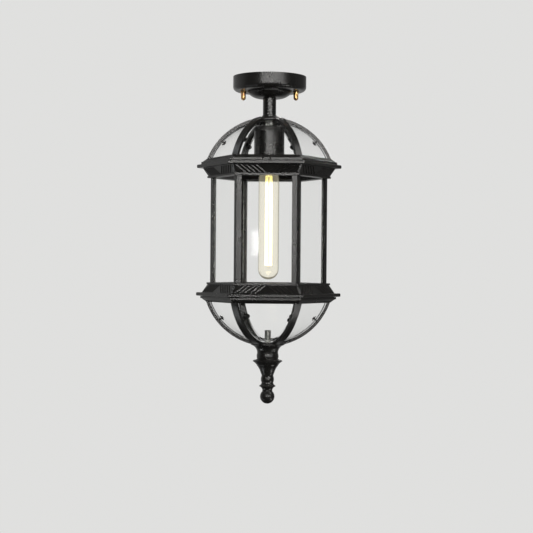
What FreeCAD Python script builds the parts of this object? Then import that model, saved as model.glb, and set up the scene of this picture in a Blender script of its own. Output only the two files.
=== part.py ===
import FreeCAD, Part
import math
import os
import re

import Sketcher

# Hexagonal porch ceiling lantern, hung from a round canopy.
# All lengths are millimetres. Z = 0 is the ceiling, +Z points up and the lantern hangs below it.
# The hexagon has corners on the X axis and flat sides facing -Y (front) and +Y (rear).

# Driving dimensions.
SIZES = {
    # canopy and what hangs it
    "canopy_radius": 53.0,
    "canopy_high": 21.0,
    "canopy_wall": 1.4,
    "canopy_round": 6.0,
    "crossbar_gap": 2.6,
    "crossbar_wide": 12.7,
    "crossbar_thick": 2.0,
    "slot_end": 2.05,
    "slot_play": 0.6,
    "slot_wide": 4.4,
    "stud_step": 12.7,
    "stud_radius": 2.0,
    "stud_head_radius": 3.2,
    "stud_head_high": 1.4,
    "stud_reach": 8.0,
    "cap_nut_radius": 3.5,
    "cap_nut_long": 13.0,
    "cap_nut_flange": 0.875,
    "cap_nut_flange_high": 1.4,
    "ground_screw_step": 20.1,
    "ground_screw_radius": 1.7,
    "ground_head_radius": 3.4,
    "ground_head_high": 2.0,
    "ground_slot_wide": 0.9,
    "ground_slot_deep": 1.0,
    # stem
    "collar_nut_gap": 1.425,
    "collar_high": 10.0,
    "collar_lip": 1.4,
    "collar_bow": 3.0,
    "collar_wall": 1.8,
    "stem_radius": 9.5,
    "stem_long": 26.6,
    "stem_bead_radius": 0.8,
    "pipe_radius": 4.9,
    "pipe_bore_radius": 3.7,
    "pipe_clearance": 0.15,
    "pipe_top_reach": 3.0,
    "nut_radius": 8.6,
    "nut_high": 4.0,
    "nut_corner_share": 0.955,
    # dome, hub and ribs
    "hub_radius": 25.3,
    "hub_rise": 4.2,
    "hub_bow": 0.7,
    "hub_edge": 3.0,
    "hub_nut_radius": 12.6,
    "hub_nut_high": 6.7,
    "lock_washer_radius": 11.6,
    "lock_washer_teeth": 16,
    "lock_tooth_deep": 1.8,
    "lock_washer_thick": 1.5,
    "dome_high": 65.5,
    "bowl_high": 69.1,
    "rib_thick": 4.4,
    "rib_wide": 9.5,
    "rib_foot_reach": 5.0,
    "rib_root_deep": 3.0,
    "band_reach": 14.1,
    "band_groove_inset": 3.0,
    "band_groove_high": 0.6,
    "band_strip_high": 3.1,
    "band_shoulder_high": 5.0,
    "band_shoulder_reach": 5.5,
    "band_shoulder_step": 1.5,
    "band_bore_inset": 6.5,
    "dome_pane_thick": 2.4,
    "dome_pane_gap": 0.15,
    "pane_corner_gap": 1.7,
    "pane_hub_gap": 0.8,
    "clip_radius": 4.0,
    "clip_thick": 1.2,
    "clip_screw_radius": 1.2,
    "clip_head_radius": 2.2,
    "clip_head_high": 1.3,
    "dome_clip_angle": 42.0,
    "bowl_clip_angle": 39.0,
    # socket
    "socket_cap_reach": 0.4,
    "socket_cap_high": 6.5,
    "spigot_high": 4.0,
    "socket_cup_radius": 21.9,
    "socket_cup_high": 60.0,
    "cup_wall": 1.2,
    "socket_body_gap": 1.5,
    "socket_body_high": 38.0,
    "socket_body_top": 17.0,
    "socket_boss_radius": 8.5,
    "socket_pipe_lap": 3.8,
    "wire_pocket_deep": 3.0,
    "socket_floor": 10.1,
    "shell_wall": 0.6,
    "shell_clearance": 0.3,
    "shell_seat_gap": 0.05,
    "shell_high": 20.0,
    "contact_radius": 4.0,
    "contact_thick": 0.8,
    "lead_radius": 1.05,
    "lead_spread": 1.5,
    "lead_bend_radius": 5.0,
    "lead_tail_long": 22.0,
    "lead_head_room": 4.5,
    # bulb
    "bulb_cap_radius": 13.05,
    "bulb_thread_pitch": 3.62,
    "bulb_thread_deep": 0.8,
    "bulb_thread_turns": 5,
    "bulb_contact_radius": 4.6,
    "bulb_contact_high": 2.0,
    "bulb_collar_radius": 8.2,
    "bulb_collar_high": 3.6,
    "bulb_skirt_high": 3.3,
    "bulb_radius": 15.0,
    "bulb_wall": 0.9,
    "bulb_neck_lap": 10.0,
    "bulb_cap_wall": 0.6,
    "bulb_root_wall": 0.25,
    "bulb_seal_gap": 0.1,
    "bulb_shoulder_long": 16.0,
    "bulb_shoulder_bow": 0.6,
    "bulb_long": 158.0,
    "mount_rod_radius": 1.3,
    "mount_flare_radius": 3.2,
    "filament_ring_radius": 4.2,
    "filament_radius": 0.9,
    "filament_count": 6,
    "filament_drop": 8.0,
    "filament_foot_gap": 20.0,
    "filament_plate": 0.9,
    # cage
    "post_corner_radius": 84.5,
    "post_leg": 7.0,
    "post_leg_thick": 2.2,
    "post_web_wide": 3.6,
    "post_deep": 8.7,
    "post_long": 151.5,
    "lip_reach": 20.3,
    "lip_thick": 4.8,
    "lip_edge": 0.8,
    "frieze_top_reach": 12.7,
    "frieze_foot_reach": 4.4,
    "frieze_high": 11.9,
    "frieze_facet": 0.9,
    "frieze_wall": 3.6,
    "foot_lip_thick": 2.6,
    "flange_thick": 3.2,
    "flange_inset": 10.0,
    "glass_groove_deep": 1.4,
    "side_pane_thick": 2.4,
    "side_pane_gap": 0.15,
    "ridge_count": 5,
    "ridge_corner_gap": 5.0,
    "ridge_lean": 13.0,
    "ridge_wide": 5.0,
    "ridge_crest_wide": 0.3,
    "ridge_high": 1.0,
    "ridge_centre_gap": 2.6,
    "ridge_margin": 0.9,
    "ridge_sink": 0.2,
    "seat_gap": 0.3,
    # finial
    "finial_stud_radius": 4.8,
    "finial_stud_bore": 3.2,
    "finial_stud_reach": 16.5,
    "finial_stud_depth": 14.0,
    "finial_nut_radius": 8.0,
    "finial_nut_high": 3.2,
    "finial_cup_radius": 24.4,
    "finial_cup_high": 13.6,
    "finial_edge": 1.4,
    "finial_waist_radius": 15.2,
    "finial_bulge_high": 8.4,
    "finial_ring_radius": 21.7,
    "finial_ring_high": 3.1,
    "finial_ring_fall": 5.0,
    "finial_step_radius": 16.0,
    "finial_taper_high": 16.6,
    "finial_neck_radius": 8.5,
    "finial_bead_rise": 1.0,
    "finial_bead_high": 9.2,
    "finial_low_ring_radius": 12.1,
    "finial_low_ring_high": 5.2,
    "finial_throat_radius": 7.3,
    "finial_throat_high": 10.0,
    "finial_ball_radius": 10.5,
    # rear hinge
    "leaf_thick": 1.5,
    "leaf_wide": 32.0,
    "knuckle_wide": 11.0,
    "knuckle_radius": 3.0,
    "knuckle_gap": 0.3,
    "hinge_pin_radius": 1.25,
    "hinge_pin_clearance": 0.05,
    "hinge_pin_head_radius": 2.2,
    "hinge_pin_head_long": 1.0,
    "hinge_reach": 0.5,
    # front catch
    "notch_wide": 13.0,
    "notch_land_wide": 5.0,
    "tab_wide": 7.0,
    "tab_thick": 2.2,
    "tab_high": 4.2,
    "tab_gap": 0.4,
    "catch_screw_radius": 1.2,
    "catch_screw_clearance": 0.06,
    "catch_head_radius": 1.75,
    "catch_head_high": 0.9,
    "catch_slot_wide": 0.6,
    "catch_slot_deep": 0.45,
    "catch_screw_level": 2.2,
}

# Places and sizes that follow from the driving dimensions.
PLACES = {
    "crossbar_long": "2 * (canopy_radius - canopy_wall - crossbar_gap)",
    "slot_long": "slot_wide + slot_play",
    "slot_span": "crossbar_long - slot_long - 2 * slot_end",
    "stud_span": "slot_span - stud_step",
    "ground_screw_place": "stud_span / 2 - ground_screw_step",
    "cap_nut_flange_radius": "cap_nut_radius + cap_nut_flange",
    "collar_radius": "stud_span / 2 - cap_nut_flange_radius - collar_nut_gap",
    "lead_top": "-(crossbar_thick + lead_head_room)",
    "collar_foot": "-(canopy_high + collar_high)",
    "hub_top": "collar_foot - stem_long",
    "hub_rim": "hub_top - hub_rise",
    "hub_under": "hub_rim - hub_edge",
    "dome_seat": "hub_rim - dome_high",
    "ring_top": "dome_seat - seat_gap",
    "ring_high": "lip_thick + frieze_high + foot_lip_thick",
    "post_top": "ring_top - ring_high",
    "post_foot": "post_top - post_long",
    "bowl_seat": "post_foot - ring_high",
    "bowl_rim": "bowl_seat - bowl_high",
    "pipe_hole_radius": "pipe_radius + pipe_clearance",
    "stud_hole_radius": "stud_radius + pipe_clearance",
    "finial_hole_radius": "finial_stud_radius + pipe_clearance",
    "spigot_radius": "socket_cup_radius - cup_wall - pipe_clearance",
    "socket_cap_radius": "socket_cup_radius + socket_cap_reach",
    "socket_body_radius": "socket_cup_radius - cup_wall - socket_body_gap",
    "canopy_floor": "canopy_wall - canopy_high",
    "pipe_top": "canopy_floor + lock_washer_thick + nut_high + pipe_top_reach",
    "socket_top": "hub_under - hub_nut_high - lock_washer_thick",
    "socket_under": "socket_top - cup_wall",
    "socket_rim": "socket_top - socket_cap_high",
    "socket_mouth": "socket_top - socket_cup_high",
    "body_top": "socket_top - socket_body_top",
    "body_foot": "body_top - socket_body_high",
    "pipe_foot": "body_top - socket_pipe_lap",
    "wire_foot": "pipe_foot - wire_pocket_deep",
    "boss_top": "socket_under - nut_high - pipe_clearance",
    "shell_radius": "bulb_cap_radius + shell_clearance",
    "shell_top": "wire_foot - socket_floor",
    "contact_face": "shell_top - contact_thick * 2",
    "bulb_cap_bore": "bulb_cap_radius - bulb_thread_deep - bulb_root_wall",
    "bulb_neck_radius": "bulb_cap_bore - 2 * bulb_seal_gap",
    "bulb_cap_top": "contact_face - bulb_contact_high",
    "bulb_thread_top": "bulb_cap_top - bulb_collar_high",
    "bulb_thread_foot": "bulb_thread_top - bulb_thread_pitch * bulb_thread_turns",
    "bulb_cap_foot": "bulb_thread_foot - bulb_skirt_high",
    "bulb_foot": "bulb_cap_foot - bulb_long",
    "filament_top": "bulb_cap_foot - filament_drop",
    "filament_foot": "bulb_foot + filament_foot_gap",
    "band_top": "band_groove_high + band_strip_high + band_shoulder_high",
    "rib_foot_radius": "post_corner_radius + rib_foot_reach",
    "rib_tip_radius": "hub_radius * 3 / 4",
    "band_radius": "post_corner_radius + band_reach",
    "shoulder_radius": "post_corner_radius + band_shoulder_reach",
    "shoulder_foot_radius": "band_radius - band_shoulder_step",
    "band_bore_radius": "post_corner_radius - band_bore_inset",
    "lip_radius": "post_corner_radius + lip_reach",
    "frieze_top_radius": "post_corner_radius + frieze_top_reach",
    "frieze_foot_radius": "post_corner_radius + frieze_foot_reach",
    "ridge_run": "frieze_top_radius / 2 - ridge_centre_gap - ridge_lean - ridge_corner_gap",
    "ridge_pitch": "ridge_run / (ridge_count - 1)",
    "flange_radius": "post_corner_radius - flange_inset",
    "flat_ratio": "sqrt(3) / 2",
    "quarter_rise": "1 - 1 / sqrt(2)",
    "lip_flat": "lip_radius * flat_ratio",
    "band_flat": "band_radius * flat_ratio",
    "shoulder_flat": "shoulder_radius * flat_ratio",
    "pane_flat": "post_corner_radius * flat_ratio - post_leg_thick - side_pane_gap",
    "hinge_flat": "lip_flat + leaf_thick + knuckle_radius + hinge_reach",
    "tab_front": "band_flat + tab_gap + tab_thick",
    "screw_level": "ring_top + catch_screw_level",
}

# Levels of the two castings that are alike: the dome above and the bowl below, measured from their seats.
for casting in ("dome", "bowl"):
    PLACES[casting + "_arc_level"] = (
        f"(hub_radius^2 - rib_foot_radius^2 + {casting}_high^2 - band_top^2)"
        f" / (2 * ({casting}_high - band_top))"
    )
    PLACES[casting + "_arc_radius"] = (
        f"sqrt(hub_radius^2 + ({casting}_high - {casting}_arc_level)^2)"
    )

WORD = re.compile(r"\b[a-z_]+\b")
HEXAGON = 6
SIXTH = 60.0
FULL_TURN = 360.0
UPRIGHT = 0
UPSIDE_DOWN = 180

DOC = FreeCAD.newDocument("porch_ceiling_lantern")
SUBPARTS = []


def with_sheets(formula, inside_places=False):
    """Puts the sheet's name before each alias in a formula."""
    def named(match):
        word = match.group(0)
        if word in SIZES:
            return "Sizes." + word
        if word in PLACES and not inside_places:
            return "Places." + word
        return word
    return WORD.sub(named, str(formula))


def make_sheet(name, cells):
    """Writes one alias and its value or formula on each row."""
    sheet = DOC.addObject("Spreadsheet::Sheet", name)
    for row, (alias, content) in enumerate(cells.items(), start=1):
        sheet.set(f"A{row}", alias)
        sheet.set(f"B{row}", content)
        sheet.setAlias(f"B{row}", alias)
    return sheet


SHEET = make_sheet("Sizes", {alias: str(number) for alias, number in SIZES.items()})
make_sheet("Places", {alias: "=" + with_sheets(formula, True) for alias, formula in PLACES.items()})
DOC.recompute()


def size(formula):
    """The present value of a formula of aliases."""
    return float(SHEET.evalExpression(with_sheets(formula)))


def bind(item, prop, formula):
    """Ties a property to a formula of aliases."""
    item.setExpression(prop, with_sheets(formula))


def place(item, x="0", y="0", z="0"):
    """Ties an object's position to three formulas."""
    bind(item, "Placement.Base.x", x)
    bind(item, "Placement.Base.y", y)
    bind(item, "Placement.Base.z", z)
    return item


def turn(item, axis, degrees):
    """Turns an object about an axis through its own origin."""
    rotation = FreeCAD.Rotation(FreeCAD.Vector(*axis), degrees)
    item.Placement = FreeCAD.Placement(item.Placement.Base, rotation)
    return item


def keep(item, label):
    """Marks an object as a finished sub-part."""
    item.Label = label
    SUBPARTS.append(item)
    return item


# ---- plain solids and booleans ----

def cylinder(radius, high, x="0", y="0", z="0"):
    item = DOC.addObject("Part::Cylinder", "Cylinder")
    bind(item, "Radius", radius)
    bind(item, "Height", high)
    return place(item, x, y, z)


def lying_cylinder(radius, long, x="0", y="0", z="0", along=(0, 1, 0)):
    """A cylinder that runs from its place along +X or +Y."""
    item = cylinder(radius, long, x, y, z)
    if along == (1, 0, 0):
        return turn(item, (0, 1, 0), 90)
    return turn(item, (1, 0, 0), -90)


def box(long, wide, high, x="0", y="0", z="0"):
    """A box centred on x and y, standing on z."""
    item = DOC.addObject("Part::Box", "Box")
    bind(item, "Length", long)
    bind(item, "Width", wide)
    bind(item, "Height", high)
    return place(item, f"{x} - ({long}) / 2", f"{y} - ({wide}) / 2", z)


def ball(radius, x="0", y="0", z="0"):
    item = DOC.addObject("Part::Sphere", "Ball")
    bind(item, "Radius", radius)
    return place(item, x, y, z)


def prism(radius, high, z="0", sides=HEXAGON, x="0", y="0"):
    """An upright prism with a corner on +X."""
    item = DOC.addObject("Part::Prism", "Prism")
    item.Polygon = sides
    bind(item, "Circumradius", radius)
    bind(item, "Height", high)
    return place(item, x, y, z)


def frustum(top_radius, top, foot_radius, foot, degrees=0):
    """A hexagonal prism whose corner radius changes evenly between two levels."""
    ends = []
    for radius, level in ((foot_radius, foot), (top_radius, top)):
        end = DOC.addObject("Part::RegularPolygon", "Hexagon")
        end.Polygon = HEXAGON
        bind(end, "Circumradius", radius)
        place(end, z=level)
        ends.append(turn(end, (0, 0, 1), degrees))
    item = DOC.addObject("Part::Loft", "Frustum")
    item.Sections = ends
    item.Solid = True
    item.Ruled = True
    return item


def join(*items):
    item = DOC.addObject("Part::MultiFuse", "Join")
    item.Shapes = list(items)
    item.Refine = True
    return item


def overlap(*items):
    item = DOC.addObject("Part::MultiCommon", "Overlap")
    item.Shapes = list(items)
    return item


def cut(base, *tools):
    item = DOC.addObject("Part::Cut", "Cut")
    item.Base = base
    item.Tool = tools[0] if len(tools) == 1 else join(*tools)
    return item


def group(*items):
    """Several separate solids in one sub-part."""
    item = DOC.addObject("Part::Compound", "Group")
    item.Links = list(items)
    return item


# ---- bodies with sketches ----

def new_body(name):
    return DOC.addObject("PartDesign::Body", name)


def origin_item(body, role):
    return next(item for item in body.Origin.OriginFeatures if item.Role == role)


def arc_radius(before, after, rise):
    """The radius of an arc that stands by rise over the chord between two corners."""
    across = f"(({after[0]}) - ({before[0]}))^2 + (({after[1]}) - ({before[1]}))^2"
    return f"({across}) / (8 * ({rise})) + ({rise}) / 2"


def arc_edge(start, end, radius, left):
    """The short arc between two points, its centre on the left or the right of the way there."""
    chord = end - start
    middle = (start + end) * 0.5
    side = FreeCAD.Vector(-chord.y, chord.x, 0).normalize()
    reach = math.sqrt(max(radius ** 2 - (chord.Length / 2) ** 2, 0))
    centre = middle + side * (reach if left else -reach)
    first, last = (start, end) if left else (end, start)
    angles = [math.atan2(point.y - centre.y, point.x - centre.x) for point in (first, last)]
    circle = Part.Circle(centre, FreeCAD.Vector(0, 0, 1), radius)
    return Part.ArcOfCircle(circle, angles[0], angles[1])


def draw_outline(sketch, corners):
    """
    Draws a closed outline, each corner held by two dimensions from the origin.

    A corner is (x, y), or (x, y, "left" or "right", rise) where an arc leads to it. The arc stands by
    rise over its chord, and its centre lies on that side of the way along the outline.
    """
    points = [FreeCAD.Vector(size(corner[0]), size(corner[1]), 0) for corner in corners]
    first = sketch.GeometryCount
    starts = []
    for index, corner in enumerate(corners):
        start, end = points[index - 1], points[index]
        if len(corner) == 2:
            sketch.addGeometry(Part.LineSegment(start, end))
            starts.append(1)
            continue
        left = corner[2] == "left"
        formula = arc_radius(corners[index - 1], corner, corner[3])
        number = sketch.addGeometry(arc_edge(start, end, size(formula), left))
        radius = sketch.addConstraint(Sketcher.Constraint("Radius", number, size(formula)))
        bind(sketch, f"Constraints[{radius}]", formula)
        starts.append(1 if left else 2)
    for index, corner in enumerate(corners):
        here, ahead = first + index, first + (index + 1) % len(corners)
        end_place = 3 - starts[index]
        start_place = starts[(index + 1) % len(corners)]
        sketch.addConstraint(Sketcher.Constraint("Coincident", here, end_place, ahead, start_place))
        for kind, formula in (("DistanceX", corner[0]), ("DistanceY", corner[1])):
            held = sketch.addConstraint(Sketcher.Constraint(kind, here, end_place, size(formula)))
            bind(sketch, f"Constraints[{held}]", formula)


def new_sketch(body, role, *outlines, level="0"):
    """A sketch on one of the body's own origin planes, raised by level."""
    sketch = body.newObject("Sketcher::SketchObject", "Sketch")
    sketch.AttachmentSupport = [(origin_item(body, role), "")]
    sketch.MapMode = "FlatFace"
    bind(sketch, "AttachmentOffset.Base.z", level)
    for corners in outlines:
        draw_outline(sketch, corners)
    return sketch


def spin(body, corners, groove=False):
    """Turns an outline of radius and height about the Z axis, to add or to cut."""
    kind = "PartDesign::Groove" if groove else "PartDesign::Revolution"
    sketch = new_sketch(body, "XZ_Plane", corners)
    feature = body.newObject(kind, "Turned")
    feature.Profile = sketch
    feature.ReferenceAxis = (sketch, ["V_Axis"])
    feature.Angle = FULL_TURN
    return feature


def pad(body, sketch, high, symmetric=False):
    feature = body.newObject("PartDesign::Pad", "Pad")
    feature.Profile = sketch
    feature.SideType = "Symmetric" if symmetric else "One side"
    bind(feature, "Length", high)
    return feature


def polar(body, feature, count):
    """Repeats a feature round the Z axis."""
    pattern = body.newObject("PartDesign::PolarPattern", "Round")
    pattern.Originals = [feature]
    pattern.Axis = (origin_item(body, "Z_Axis"), [""])
    pattern.Angle = FULL_TURN
    pattern.Occurrences = count
    body.Tip = pattern
    return pattern


def turned(label, corners):
    """A sub-part turned from one outline of radius and height."""
    body = new_body(label)
    spin(body, corners)
    return keep(body, label)


def hexagon(radius):
    """The corners of a hexagon with two corners on the X axis."""
    half = f"({radius}) / 2"
    flat = f"({radius}) * flat_ratio"
    return [(radius, "0"), (half, flat), (f"-{half}", flat),
            (f"-({radius})", "0"), (f"-{half}", f"-{flat}"), (half, f"-{flat}")]


def solid_feature(label, shape):
    """A sub-part or a step whose shape is worked out in code."""
    item = DOC.addObject("Part::Feature", label)
    item.Shape = shape
    return item


# ---- ceiling mount ----

def make_canopy():
    """Pressed round pan, open at the ceiling, with holes for the pipe and the two studs."""
    body = new_body("canopy_blank")
    inner = "canopy_radius - canopy_wall"
    inner_round = "canopy_round - canopy_wall"
    spin(body, [
        ("pipe_hole_radius", "-canopy_high"),
        ("canopy_radius - canopy_round", "-canopy_high"),
        ("canopy_radius", "canopy_round - canopy_high", "left", "canopy_round * quarter_rise"),
        ("canopy_radius", "0"),
        (inner, "0"),
        (inner, "canopy_round - canopy_high"),
        ("canopy_radius - canopy_round", "canopy_floor", "right", f"({inner_round}) * quarter_rise"),
        ("pipe_hole_radius", "canopy_floor"),
    ])
    holes = [cylinder("stud_hole_radius", "canopy_high", x=f"{side} * stud_span / 2",
                      z="-canopy_high - canopy_wall") for side in (-1, 1)]
    keep(cut(body, *holes), "canopy_pan")


def make_crossbar():
    """Flat strap against the ceiling box, with two slots, two stud holes and the ground screw's hole."""
    bar = box("crossbar_long", "crossbar_wide", "crossbar_thick", z="-crossbar_thick")
    through = {"high": "crossbar_thick * 3", "z": "-crossbar_thick * 2"}
    tools = [cylinder("ground_screw_radius + pipe_clearance", x="ground_screw_place", **through)]
    for side in (-1, 1):
        tools.append(cylinder("stud_hole_radius", x=f"{side} * stud_span / 2", **through))
        tools.append(cylinder("stud_head_radius + pipe_clearance", "stud_head_high * 2",
                              x=f"{side} * stud_span / 2", z="-stud_head_high"))
        for end in (-1, 1):
            tools.append(cylinder("slot_wide / 2", x=f"{side} * slot_span / 2"
                                  f" + {end} * (slot_long - slot_wide) / 2", **through))
        tools.append(box("slot_long - slot_wide", "slot_wide", x=f"{side} * slot_span / 2", **through))
    keep(cut(bar, *tools), "crossbar")


def make_canopy_fasteners():
    """Two headed studs in the crossbar, their domed cap nuts and the ground screw."""
    studs = []
    nuts = []
    nut_body_long = "(cap_nut_long - cap_nut_radius)"
    for side in (-1, 1):
        x = f"{side} * stud_span / 2"
        shank = cylinder("stud_radius", "canopy_high + stud_reach - stud_head_high / 2", x=x,
                         z="-canopy_high - stud_reach")
        studs.append(join(shank, cylinder("stud_head_radius", "stud_head_high", x=x, z="-stud_head_high")))
        barrel = cylinder("cap_nut_radius", nut_body_long, x=x, z=f"-canopy_high - {nut_body_long}")
        dome = ball("cap_nut_radius", x=x, z=f"-canopy_high - {nut_body_long}")
        flange = cylinder("cap_nut_flange_radius", "cap_nut_flange_high", x=x,
                          z="-canopy_high - cap_nut_flange_high")
        bore = cylinder("stud_hole_radius", "stud_reach * 2", x=x, z="-canopy_high - stud_reach")
        nuts.append(cut(join(barrel, dome, flange), bore))
    keep(group(*studs), "canopy_studs")
    keep(group(*nuts), "canopy_cap_nuts")
    head = cylinder("ground_head_radius", "ground_head_high", x="ground_screw_place",
                    z="-crossbar_thick - ground_head_high")
    shank = cylinder("ground_screw_radius", "crossbar_thick + ground_head_high / 2",
                     x="ground_screw_place", z="-crossbar_thick - ground_head_high / 2")
    slot = box("ground_head_radius * 3", "ground_slot_wide", "ground_slot_deep", x="ground_screw_place",
               z="-crossbar_thick - ground_head_high")
    keep(cut(join(head, shank), slot), "ground_screw")


def make_stem():
    """Bowl-shaped collar and stem, both threaded on the hollow pipe."""
    turned("stem_collar", [
        ("pipe_hole_radius", "collar_foot"),
        ("stem_radius + collar_wall", "collar_foot"),
        ("collar_radius", "-canopy_high - collar_lip", "left", "collar_bow"),
        ("collar_radius", "-canopy_high"),
        ("pipe_hole_radius", "-canopy_high"),
    ])
    turned("stem_tube", [
        ("pipe_hole_radius", "hub_top"),
        ("stem_radius + stem_bead_radius", "hub_top"),
        ("stem_radius + stem_bead_radius", "hub_top + 2 * stem_bead_radius"),
        ("stem_radius", "hub_top + 3 * stem_bead_radius"),
        ("stem_radius", "collar_foot"),
        ("pipe_hole_radius", "collar_foot"),
    ])


def hex_nut(radius, high, z, bore):
    """A hexagonal nut with its corners turned off."""
    blank = prism(radius, high, z)
    skirt = cylinder(f"({radius}) * nut_corner_share", high, z=z)
    return cut(overlap(blank, skirt), cylinder(bore, f"({high}) * 3", z=f"({z}) - ({high})"))


def make_pipe_and_nuts():
    """The hollow threaded pipe from the canopy to the socket, and the nuts and washers that clamp it."""
    pipe = cylinder("pipe_radius", "pipe_top - pipe_foot", z="pipe_foot")
    bore_long = "pipe_top - pipe_foot + 2 * cup_wall"
    keep(cut(pipe, cylinder("pipe_bore_radius", bore_long, z="pipe_foot - cup_wall")), "threaded_pipe")
    keep(group(
        hex_nut("nut_radius", "nut_high", "canopy_floor + lock_washer_thick", "pipe_hole_radius"),
        hex_nut("nut_radius", "nut_high", "socket_under - nut_high", "pipe_hole_radius"),
    ), "pipe_nuts")
    keep(hex_nut("hub_nut_radius", "hub_nut_high", "hub_under - hub_nut_high", "pipe_hole_radius"),
         "hub_nut")
    washers = []
    for level in ("canopy_floor", "socket_top"):
        washers.append(place(solid_feature("Washer", toothed_washer()), z=level))
    keep(group(*washers), "lock_washers")


def toothed_washer():
    """A star washer: alternate tips and roots on its rim."""
    teeth = round(size("lock_washer_teeth"))
    tip = size("lock_washer_radius")
    root = tip - size("lock_tooth_deep")
    points = []
    for step in range(2 * teeth + 1):
        angle = math.pi * step / teeth
        radius = root if step % 2 else tip
        points.append(FreeCAD.Vector(radius * math.cos(angle), radius * math.sin(angle), 0))
    up = FreeCAD.Vector(0, 0, size("lock_washer_thick"))
    blank = Part.Face(Part.makePolygon(points)).extrude(up)
    return blank.cut(Part.makeCylinder(size("pipe_hole_radius"), size("lock_washer_thick")))


# ---- dome above and bowl below ----

def rib_outline(casting):
    """One rib in the plane of its corner, from inside the base band to inside the hub."""
    level = f"{casting}_arc_level"
    outer = f"{casting}_arc_radius"
    inner = f"({outer} - rib_thick)"
    foot = "(band_top - rib_root_deep)"

    def at_level(radius, height):
        return f"sqrt({radius}^2 - ({height} - {level})^2)"

    outer_foot = (at_level(outer, foot), foot)
    rim = ("hub_radius", f"{casting}_high")
    inner_tip = ("rib_tip_radius", f"{level} + sqrt({inner}^2 - rib_tip_radius^2)")
    inner_foot = (at_level(inner, foot), foot)
    return [
        outer_foot,
        (*rim, "left", arc_rise(outer, outer_foot, rim)),
        ("rib_tip_radius", f"{casting}_high"),
        inner_tip,
        (*inner_foot, "right", arc_rise(inner, inner_tip, inner_foot)),
    ]


def arc_rise(radius, before, after):
    """How far an arc of a given radius stands over the chord between two corners."""
    across = f"(({after[0]}) - ({before[0]}))^2 + (({after[1]}) - ({before[1]}))^2"
    return f"{radius} - sqrt({radius}^2 - ({across}) / 4)"


def make_casting(casting, degrees, level, hub_outline):
    """Hexagonal base band with a sloped shoulder, six curved ribs and a round hub, cast in one piece."""
    body = new_body(casting + "_blank")
    tiers = [
        ("band_radius - band_groove_inset", "0", "band_groove_high"),
        ("band_radius", "band_groove_high", "band_strip_high"),
        ("shoulder_radius", "band_groove_high + band_strip_high", "band_shoulder_high"),
    ]
    for radius, foot, high in tiers:
        pad(body, new_sketch(body, "XY_Plane", hexagon(radius), hexagon("band_bore_radius"), level=foot),
            high)
    rib = pad(body, new_sketch(body, "XZ_Plane", rib_outline(casting)), "rib_wide", symmetric=True)
    polar(body, rib, HEXAGON)
    spin(body, hub_outline)
    slope = frustum("shoulder_radius", "band_top",
                    "shoulder_foot_radius", "band_groove_high + band_strip_high")
    whole = join(body, cut(slope, prism("band_bore_radius", "band_top")))
    return place(turn(whole, (1, 0, 0), degrees), z=level)


def make_dome():
    """
    Upper casting, with the hub round the stem and the catch's notch in the front of its band.

    A land is left in the middle of the notch, for the catch's screw to bear on.
    """
    casting = make_casting("dome", UPRIGHT, "dome_seat", [
        ("pipe_hole_radius", "dome_high - hub_edge"),
        ("hub_radius - hub_edge / 2", "dome_high - hub_edge"),
        ("hub_radius", "dome_high - hub_edge / 2"),
        ("hub_radius", "dome_high"),
        ("stem_radius + collar_wall", "dome_high + hub_rise", "left", "hub_bow"),
        ("pipe_hole_radius", "dome_high + hub_rise"),
    ])
    strip_deep = "(band_flat - shoulder_flat)"
    notches = [box("(notch_wide - notch_land_wide) / 2", f"{strip_deep} * 2",
                   "(band_groove_high + band_strip_high) * 2",
                   x=f"{side} * (notch_wide + notch_land_wide) / 4", y=f"-(shoulder_flat + {strip_deep})",
                   z="dome_seat - band_groove_high - band_strip_high") for side in (-1, 1)]
    keep(cut(casting, *notches, clip_holes("dome", UPRIGHT, "dome_seat")), "dome_frame")


def make_bowl():
    """Lower casting, the same the other way up, with the hub that carries the finial."""
    casting = make_casting("bowl", UPSIDE_DOWN, "bowl_seat", [
        ("finial_hole_radius", "bowl_high - hub_edge"),
        ("hub_radius - hub_edge / 2", "bowl_high - hub_edge"),
        ("hub_radius", "bowl_high - hub_edge / 2"),
        ("hub_radius", "bowl_high"),
        ("finial_hole_radius", "bowl_high"),
    ])
    keep(cut(casting, clip_holes("bowl", UPSIDE_DOWN, "bowl_seat")), "bowl_frame")


def bent_pane(casting):
    """A pane for the front side: straight across, bent up the slope and trimmed clear of both ribs."""
    ratio = size("flat_ratio")
    outer = size(f"{casting}_arc_radius - rib_thick - dome_pane_gap")
    foot = size("band_top")
    # The pane ends where it has risen to a set gap below the hub's underside.
    climb = size(f"{casting}_high - hub_edge - pane_hub_gap - {casting}_arc_level")
    near = math.sqrt(outer ** 2 - climb ** 2) * ratio
    half = size("post_corner_radius")
    logs = []
    for radius in (outer, outer - size("dome_pane_thick")):
        # Halfway along a side the ribs' circle is narrowed to an ellipse.
        oval = Part.Face(Part.Wire(Part.Ellipse(FreeCAD.Vector(), radius, radius * ratio).toShape()))
        oval.rotate(FreeCAD.Vector(), FreeCAD.Vector(0, 1, 0), -90)
        oval.translate(FreeCAD.Vector(-half, 0, size(f"{casting}_arc_level")))
        logs.append(oval.extrude(FreeCAD.Vector(2 * half, 0, 0)))
    tip = FreeCAD.Vector(0, -2 * size("pane_corner_gap"), foot)
    right = tip + FreeCAD.Vector(half, -2 * half * ratio, 0)
    left = tip + FreeCAD.Vector(-half, -2 * half * ratio, 0)
    wedge = Part.Face(Part.makePolygon([tip, left, right, tip]))
    wedge = wedge.extrude(FreeCAD.Vector(0, 0, 2 * half))
    middle = Part.makeBox(2 * half, near, 2 * half, FreeCAD.Vector(-half, -near, foot))
    return logs[0].cut(logs[1]).common(wedge).cut(middle)


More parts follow.
